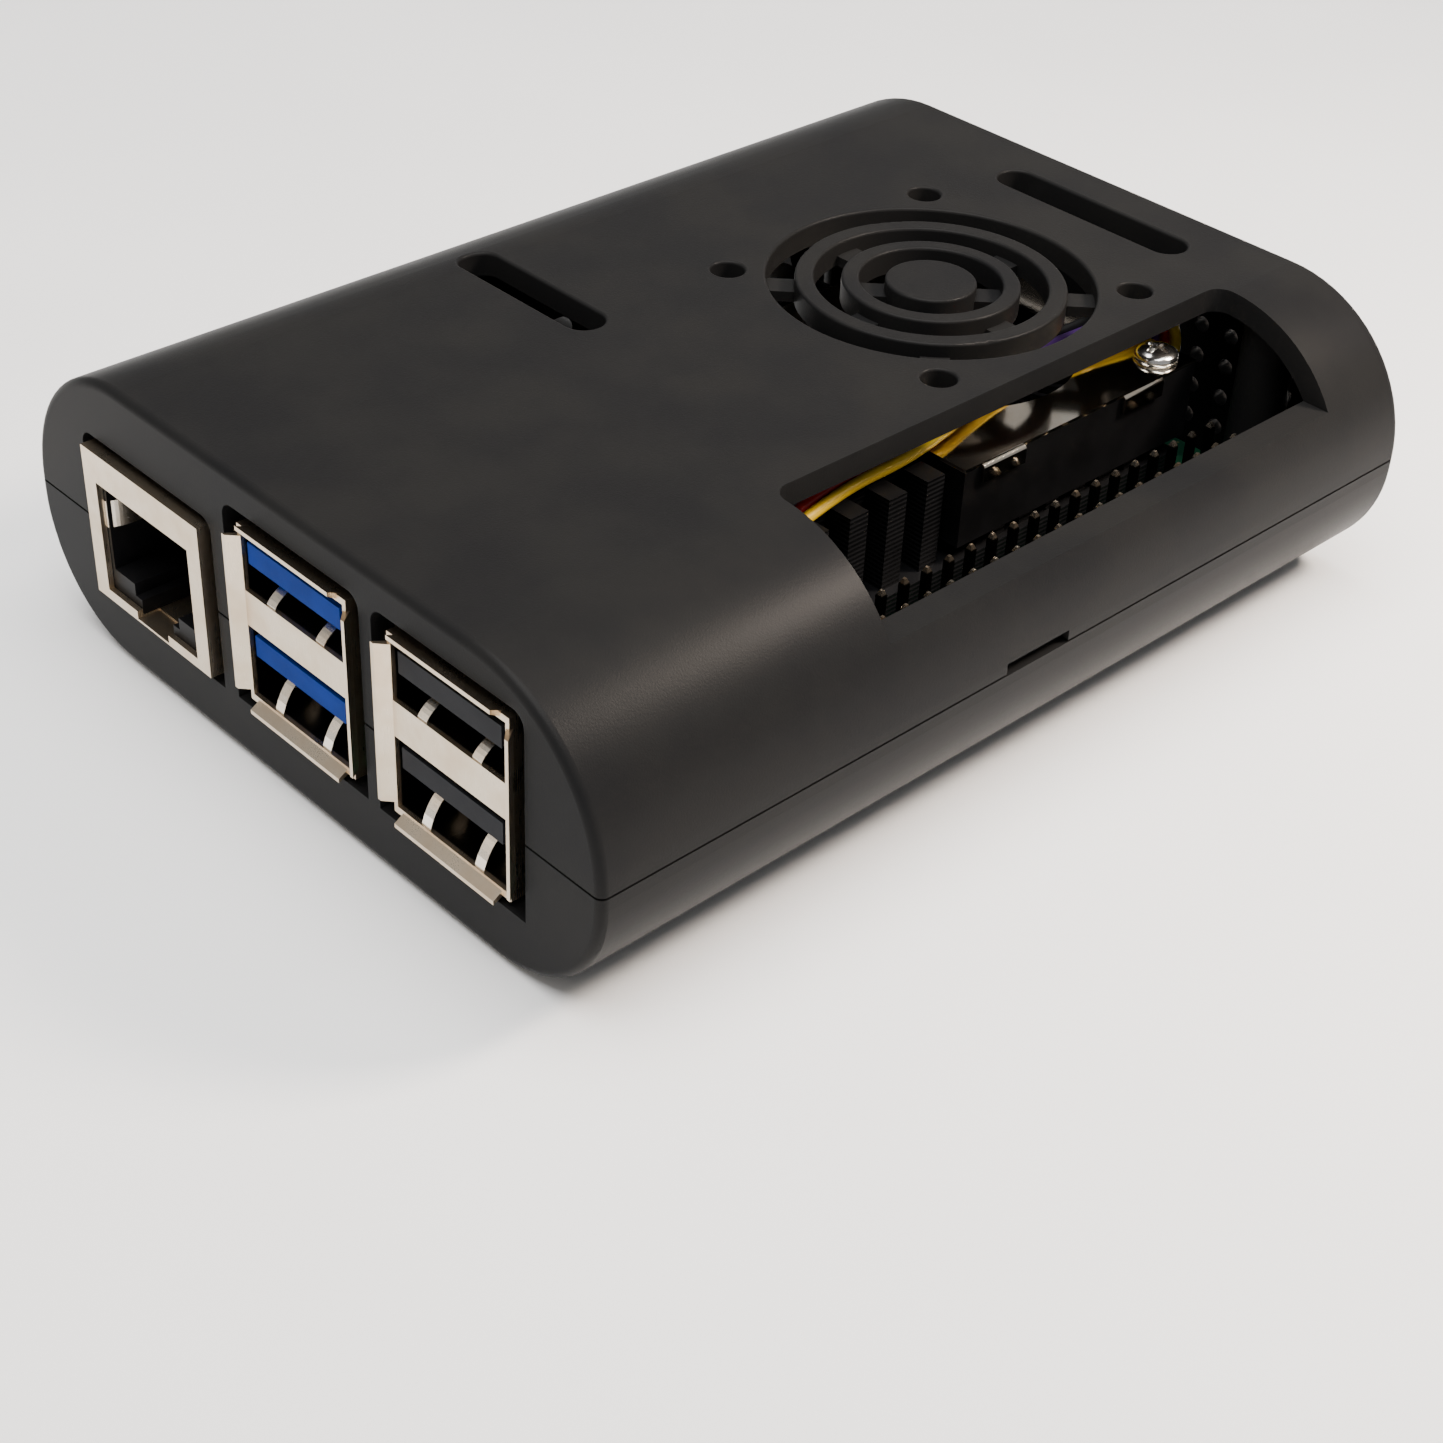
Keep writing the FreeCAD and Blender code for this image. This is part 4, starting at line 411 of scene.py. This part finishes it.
# ---- Header pins ---------------------------------------------------------------------------------
# Forty square posts of plated brass wire pressed through the header block. Each is cut to length
# with a die that leaves a short taper at its tip.
def posts(name, centres, rings):
    """Square posts standing on their centres. Each ring is a square of half-width w at height z, and
    the rings are joined by flat sides, with a flat face at each end."""
    corner = np.array([(1, -1), (1, 1), (-1, 1), (-1, -1)], dtype=float)
    rings = np.array(rings)
    one = np.concatenate([rings[:, None, :1] * corner[None], np.repeat(rings[:, None, 1:], 4, 1)],
                         axis=2)
    meshes = []
    for along, across in centres:
        meshes.append(surface(name, one + np.array([along, across, 0.0]), around=True, cap=True))
    return meshes


pin_low, pin_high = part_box("gpio_pins")
pin_half = 0.32 * MM
pitch = 2.54 * MM
pin_places = [(pin_low[0] + pin_half + pitch * k, pin_low[1] + pin_half + pitch * j)
              for k in range(20) for j in range(2)]
pin_taper = 0.45 * MM
unshaded_tip = 0.6 * pin_taper
# Painted shade: each pin's colour is darkened along its whole length below the tip, and only the tip
# keeps the plain plated colour.
shade_box_low = [edge - MM for edge in pin_low]
shade_box_high = [pin_high[0] + MM, pin_high[1] + MM, pin_high[2] - unshaded_tip]
pin_metal = plated("pin_metal", (0.72, 0.66, 0.56), 0.22, 0.04 * MM, 1 * MM, 2, 0.002 * MM, 0.2,
                   painted_shade_box=(shade_box_low, shade_box_high))
header_pins = several("header_pins", posts("header_pin", pin_places, (
    (pin_half, pin_low[2]), (pin_half, pin_high[2] - pin_taper), (pin_half * 0.42, pin_high[2]))),
    "computer", pin_metal, smooth=False)
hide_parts("gpio_pins")

# ---- Port springs ----------------------------------------------------------------------------------
# Leaf springs lanced out of the shields: they grip a plug's shell. Each rises from the mouth in a
# shallow bow and comes back down to the sheet behind it.
def leaf(name, depth, bow, thickness, start, width_from, width_to, place_of):
    """A bowed strip. Its middle line lies at bow * sin(pi * t) ** 0.8 for t from 0 to 1 along the
    depth, and the strip has that line moved out and in by half the thickness. place_of turns
    (along, out, wide) arrays into points."""
    t = np.linspace(0.0, 1.0, 15)
    line = bow * np.sin(math.pi * t) ** 0.8
    along = np.concatenate([start - depth * t, (start - depth * t)[::-1]])
    out = np.concatenate([line + thickness / 2, (line - thickness / 2)[::-1]])
    rows = [place_of(along, out, np.full_like(along, wide)) for wide in (width_from, width_to)]
    return surface(name, np.stack(rows), around=True, cap=True)


leaf_sheet = 0.18 * MM
leaf_depth = 3.6 * MM
leaf_width = 1.0 * MM
leaf_set_back = 0.9 * MM
leaf_offset = 3.0 * MM
bay_floors = ((0.75 * MM, 2.3 * MM), (10.2 * MM, 1.1 * MM))
jack_leaf_depth = 4.2 * MM
jack_leaf_width = 2.4 * MM
jack_leaf_bow = 0.55 * MM
jack_leaf_set_back = 0.5 * MM
jack_wall = 6.18 * MM
jack_leaf_heights = {-1: 6.6 * MM, 1: 4.0 * MM}
springs = []
for shield in ("usb3_shield", "usb2_shield"):
    shield_low, shield_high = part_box(shield)
    middle = (shield_low[1] + shield_high[1]) / 2
    for floor, bow in bay_floors:
        up = board_high[2] + floor + leaf_sheet / 2
        for side in (-leaf_offset, leaf_offset):
            springs.append(leaf(
                "floor_leaf", leaf_depth, bow, leaf_sheet, shield_high[0] - leaf_set_back,
                middle + side - leaf_width / 2, middle + side + leaf_width / 2,
                lambda along, out, wide, up=up: np.stack([along, wide, up + out], axis=-1)))
jack_low, jack_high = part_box("ethernet_shield")
jack_middle = (jack_low[1] + jack_high[1]) / 2
for sign in (-1, 1):
    wall = jack_middle + sign * jack_wall
    base_up = board_high[2] + jack_leaf_heights[sign]
    springs.append(leaf(
        "jack_leaf", jack_leaf_depth, jack_leaf_bow, leaf_sheet, jack_high[0] - jack_leaf_set_back,
        base_up, base_up + jack_leaf_width,
        lambda along, out, wide, wall=wall, sign=sign: np.stack(
            [along, wall - sign * out, wide], axis=-1)))
leaf_bronze = plated("leaf_bronze", (0.86, 0.80, 0.70), 0.20, 0.05 * MM, 1 * MM, 0, 0.002 * MM)
port_springs = several("port_springs", springs, "computer", leaf_bronze, smooth=False)

# ---- Cooler -------------------------------------------------------------------------------------
# A black anodised heatsink, whose tall pins keep the fine ribs of the saw, under a small blower.
anodised, place, shader = finish("anodised_black", Metallic=0.15, Specular_IOR_Level=0.15)
saw_pitch = 0.42 * MM
level = place.node("ShaderNodeSeparateXYZ", out=2, Vector=place)
saw = (level * (2 * math.pi / saw_pitch)).sum("SINE")
place.feed(shader.inputs["Base Color"],
           speckle(place, 2 * MM).mix(colour(0.005, 0.005, 0.0055), colour(0.011, 0.011, 0.012)))
place.feed(shader.inputs["Roughness"], 0.36 + 0.12 * speckle(place, 0.3 * MM))
raise_surface(place, shader, saw * 0.5 + 0.5, 0.05 * MM)
dress(anodised, "heatsink")

pad_rubber = moulded("pad_rubber", (0.32, 0.35, 0.40), 0.1, 0.6, 0.3 * MM, 0.02 * MM)
dress(pad_rubber, "thermal_pads")
fan_plastic = moulded("fan_plastic", (0.005, 0.005, 0.0055), 0.2, 0.36, 0.2 * MM, 0.008 * MM,
                      Specular_IOR_Level=0.15)
dress(fan_plastic, "fan_housing", "impeller")
cover_sheet = plated("cover_sheet", (0.80, 0.74, 0.64), 0.04, 0.05 * MM, 6 * MM, 0, 0.001 * MM)
dress(cover_sheet, "fan_cover_plate")
bright_steel = plated("bright_steel", (0.82, 0.81, 0.79), 0.14, 0.05 * MM, 0.6 * MM, 1, 0.002 * MM,
                      0.05)
dress(bright_steel, "fan_shaft")
ferrite = moulded("ferrite", (0.05, 0.05, 0.053), 0.2, 0.5, 0.1 * MM, 0.01 * MM, Metallic=0.6)
dress(ferrite, "rotor_magnet")
bronze = plated("bronze", (0.60, 0.40, 0.20), 0.35, 0.08 * MM, 0.3 * MM, 2, 0.004 * MM)
dress(bronze, "fan_bearing")
copper_wire = plated("copper_wire", (0.72, 0.30, 0.14), 0.3, 0.12 * MM, 4 * MM, 0, 0.03 * MM)
dress(copper_wire, "fan_stator")

# ---- Blower screws ---------------------------------------------------------------------------------
# Three self-tapping steel screws through the blower's plate, with low domed heads and a cross recess.
def turned(profile, centre, sides=40):
    """A lathe shape: each (radius, height) of the profile is swept round the upright axis at centre."""
    turn = np.linspace(0.0, 2 * math.pi, sides, endpoint=False)
    radius, height = np.array(profile).T
    return np.stack([
        centre[0] + radius[:, None] * np.cos(turn), centre[1] + radius[:, None] * np.sin(turn),
        np.repeat(height[:, None], sides, axis=1)], axis=-1)


def crossed(grid, centre, top, depth, arm, half_slot):
    """Presses a cross into the grid's top: where a point lies within an arm's length and half-width,
    it drops by depth, easing in over a fifth of the half-width."""
    x, y = np.abs(grid[..., 0] - centre[0]), np.abs(grid[..., 1] - centre[1])
    ease = 0.2 * half_slot

    def inside(along, across):
        return np.clip((arm - along) / ease, 0, 1) * np.clip((half_slot - across) / ease, 0, 1)

    press = np.maximum(inside(x, y), inside(y, x)) * (grid[..., 2] > top)
    grid[..., 2] -= depth * press
    return grid


screw_low, screw_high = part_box("fan_screws")
head_radius = 1.9 * MM
shank_radius = 0.95 * MM
rim_height = 0.35 * MM
crown_height = 0.75 * MM
head_height = rim_height + crown_height
recess_depth = 0.55 * MM
recess_arm = 1.15 * MM
recess_half_slot = 0.26 * MM
pole_radius = 0.01 * MM
seat = screw_high[2] - head_height
dome = np.linspace(1.0, 0.0, 22)
domed = [(max(head_radius * r, pole_radius), seat + rim_height + crown_height * math.sqrt(1 - r * r))
         for r in dome]
screw_profile = [(shank_radius * 0.6, screw_low[2]), (shank_radius, screw_low[2] + 0.5 * MM),
                 (shank_radius, seat), (head_radius, seat)] + domed
near_x, far_x = screw_low[0] + head_radius, screw_high[0] - head_radius
near_y, far_y = screw_low[1] + head_radius, screw_high[1] - head_radius
screws = []
for spot in ((near_x, near_y), (near_x, far_y), (far_x, near_y)):
    grid = turned(screw_profile, spot, 96)
    grid = crossed(grid, spot, seat + 0.3 * MM, recess_depth, recess_arm, recess_half_slot)
    screws.append(surface("fan_screw", grid, around=True, cap=True))
cross_screws = several("cross_screws", screws, "computer", bright_steel)
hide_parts("fan_screws")

# ---- Push pins and their springs -------------------------------------------------------------------
# Two moulded pins go through the heatsink's ears and snap under the board on their barbs. A coil of
# spring wire under each domed head pulls the cooler down; its end turns lie flat.
def coiled(name, centre, radius, wire, low, high, turns):
    """A round wire on a helix. The height follows a smooth step of the turn count, so that the end
    turns close up, and each section is a circle across the helix's direction."""
    t = np.linspace(0.0, 1.0, int(turns * 28))
    rise = t * t * (3 - 2 * t) * 0.55 + t * 0.45
    angle = 2 * math.pi * turns * t
    spine = np.stack([centre[0] + radius * np.cos(angle), centre[1] + radius * np.sin(angle),
                      low + wire + (high - low - 2 * wire) * rise], axis=-1)
    out = np.stack([np.cos(angle), np.sin(angle), 0 * angle], axis=-1)
    tangent = np.gradient(spine, axis=0)
    tangent /= np.linalg.norm(tangent, axis=1)[:, None]
    lift = np.cross(out, tangent)
    ring = np.linspace(0.0, 2 * math.pi, 8, endpoint=False)
    grid = (spine[:, None] + wire * np.cos(ring)[None, :, None] * out[:, None]
            - wire * np.sin(ring)[None, :, None] * lift[:, None])
    return surface(name, grid, around=True, cap=True)


pin_plastic = moulded("pin_plastic", (0.013, 0.013, 0.014), 0.2, 0.30, 0.2 * MM, 0.006 * MM)
coil_radius = 2.1 * MM
coil_wire = 0.22 * MM
coil_turns = 5
crown_rise = 1.1 * MM
for side in ("left", "right"):
    low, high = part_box("push_pin_" + side)
    centre = ((low[0] + high[0]) / 2, (low[1] + high[1]) / 2)
    coil_low, coil_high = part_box("pin_spring_" + side)
    head, stem, barb = (high[0] - low[0]) / 2, 1.3 * MM, 1.9 * MM
    under = coil_high[2] + 0.02 * MM
    board_under = board_low[2]
    curve = np.linspace(0.0, math.pi / 2, 12)
    crown = [(max(head * math.cos(a) ** 0.75, pole_radius), high[2] - crown_rise * (1 - math.sin(a)))
             for a in curve]
    profile = [(barb * 0.4, low[2]), (barb, board_under - 0.05 * MM), (stem, board_under - 0.02 * MM),
               (stem, under), (head - 0.2 * MM, under), (head, under + 0.2 * MM)] + crown
    grid = turned(profile, centre)
    pin = several("sprung_pin_" + side, [surface("pin", grid, around=True, cap=True)], side + "_pin",
                  pin_plastic)
    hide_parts("push_pin_" + side)
    coil = coiled("coil", centre, coil_radius, coil_wire, coil_low[2], coil_high[2], coil_turns)
    spring = several("coil_" + side, [coil], "computer", bright_steel)
    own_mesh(spring)
    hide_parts("pin_spring_" + side)

# ---- Fan leads ---------------------------------------------------------------------------------------
# Four thin insulated wires leave the blower's corner, cross its plate side by side, dip past the pin
# and end in the white plug on the board. Each lies between its two ends in one smooth curve.
lead_route = (
    (8.6, 43.4, 7.4), (5.75, 43.4, 7.4), (3.6, 43.2, 9.4), (3.6, 43.0, 12.4), (5.7, 43.0, 14.5),
    (9.3, 43.2, 14.8), (14.6, 42.7, 14.4), (20.4, 42.2, 14.5), (26.2, 42.4, 14.3),
    (31.2, 43.4, 14.4), (36.0, 44.7, 14.5), (41.0, 45.3, 14.2), (46.0, 45.2, 14.1),
    (51.5, 46.1, 14.1), (56.5, 47.3, 14.1), (61.0, 47.8, 13.2), (64.9, 47.9, 11.2),
    (67.0, 47.75, 8.4), (67.6, 47.68, 5.7), (67.6, 47.68, 3.4),
)
lead_pitch = 1.12
lead_radius = 0.5 * MM
for k, (name, base) in enumerate((
        ("yellow", (0.80, 0.52, 0.015)), ("red", (0.48, 0.015, 0.012)),
        ("purple", (0.10, 0.035, 0.20)), ("black", (0.012, 0.012, 0.012)))):
    jacket = moulded("jacket_" + name, base, 0.08, 0.38, 0.4 * MM, 0.01 * MM)
    path = bpy.data.curves.new("lead_" + name, "CURVE")
    path.dimensions = "3D"
    path.bevel_depth = lead_radius
    path.bevel_resolution = 4
    path.resolution_u = 8
    path.use_fill_caps = True
    spline = path.splines.new("NURBS")
    spline.points.add(len(lead_route) - 1)
    for point, (along, across, rise) in zip(spline.points, lead_route):
        point.co = (board_low[0] + along * MM, board_low[1] + (across - lead_pitch * k) * MM,
                    board_high[2] + rise * MM, 1.0)
    spline.order_u = 3
    spline.use_endpoint_u = True
    path.materials.append(jacket)
    lead = bpy.data.objects.new("lead_" + name, path)
    bpy.context.scene.collection.objects.link(lead)
    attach(lead, "computer")
    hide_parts("fan_wire_" + name)
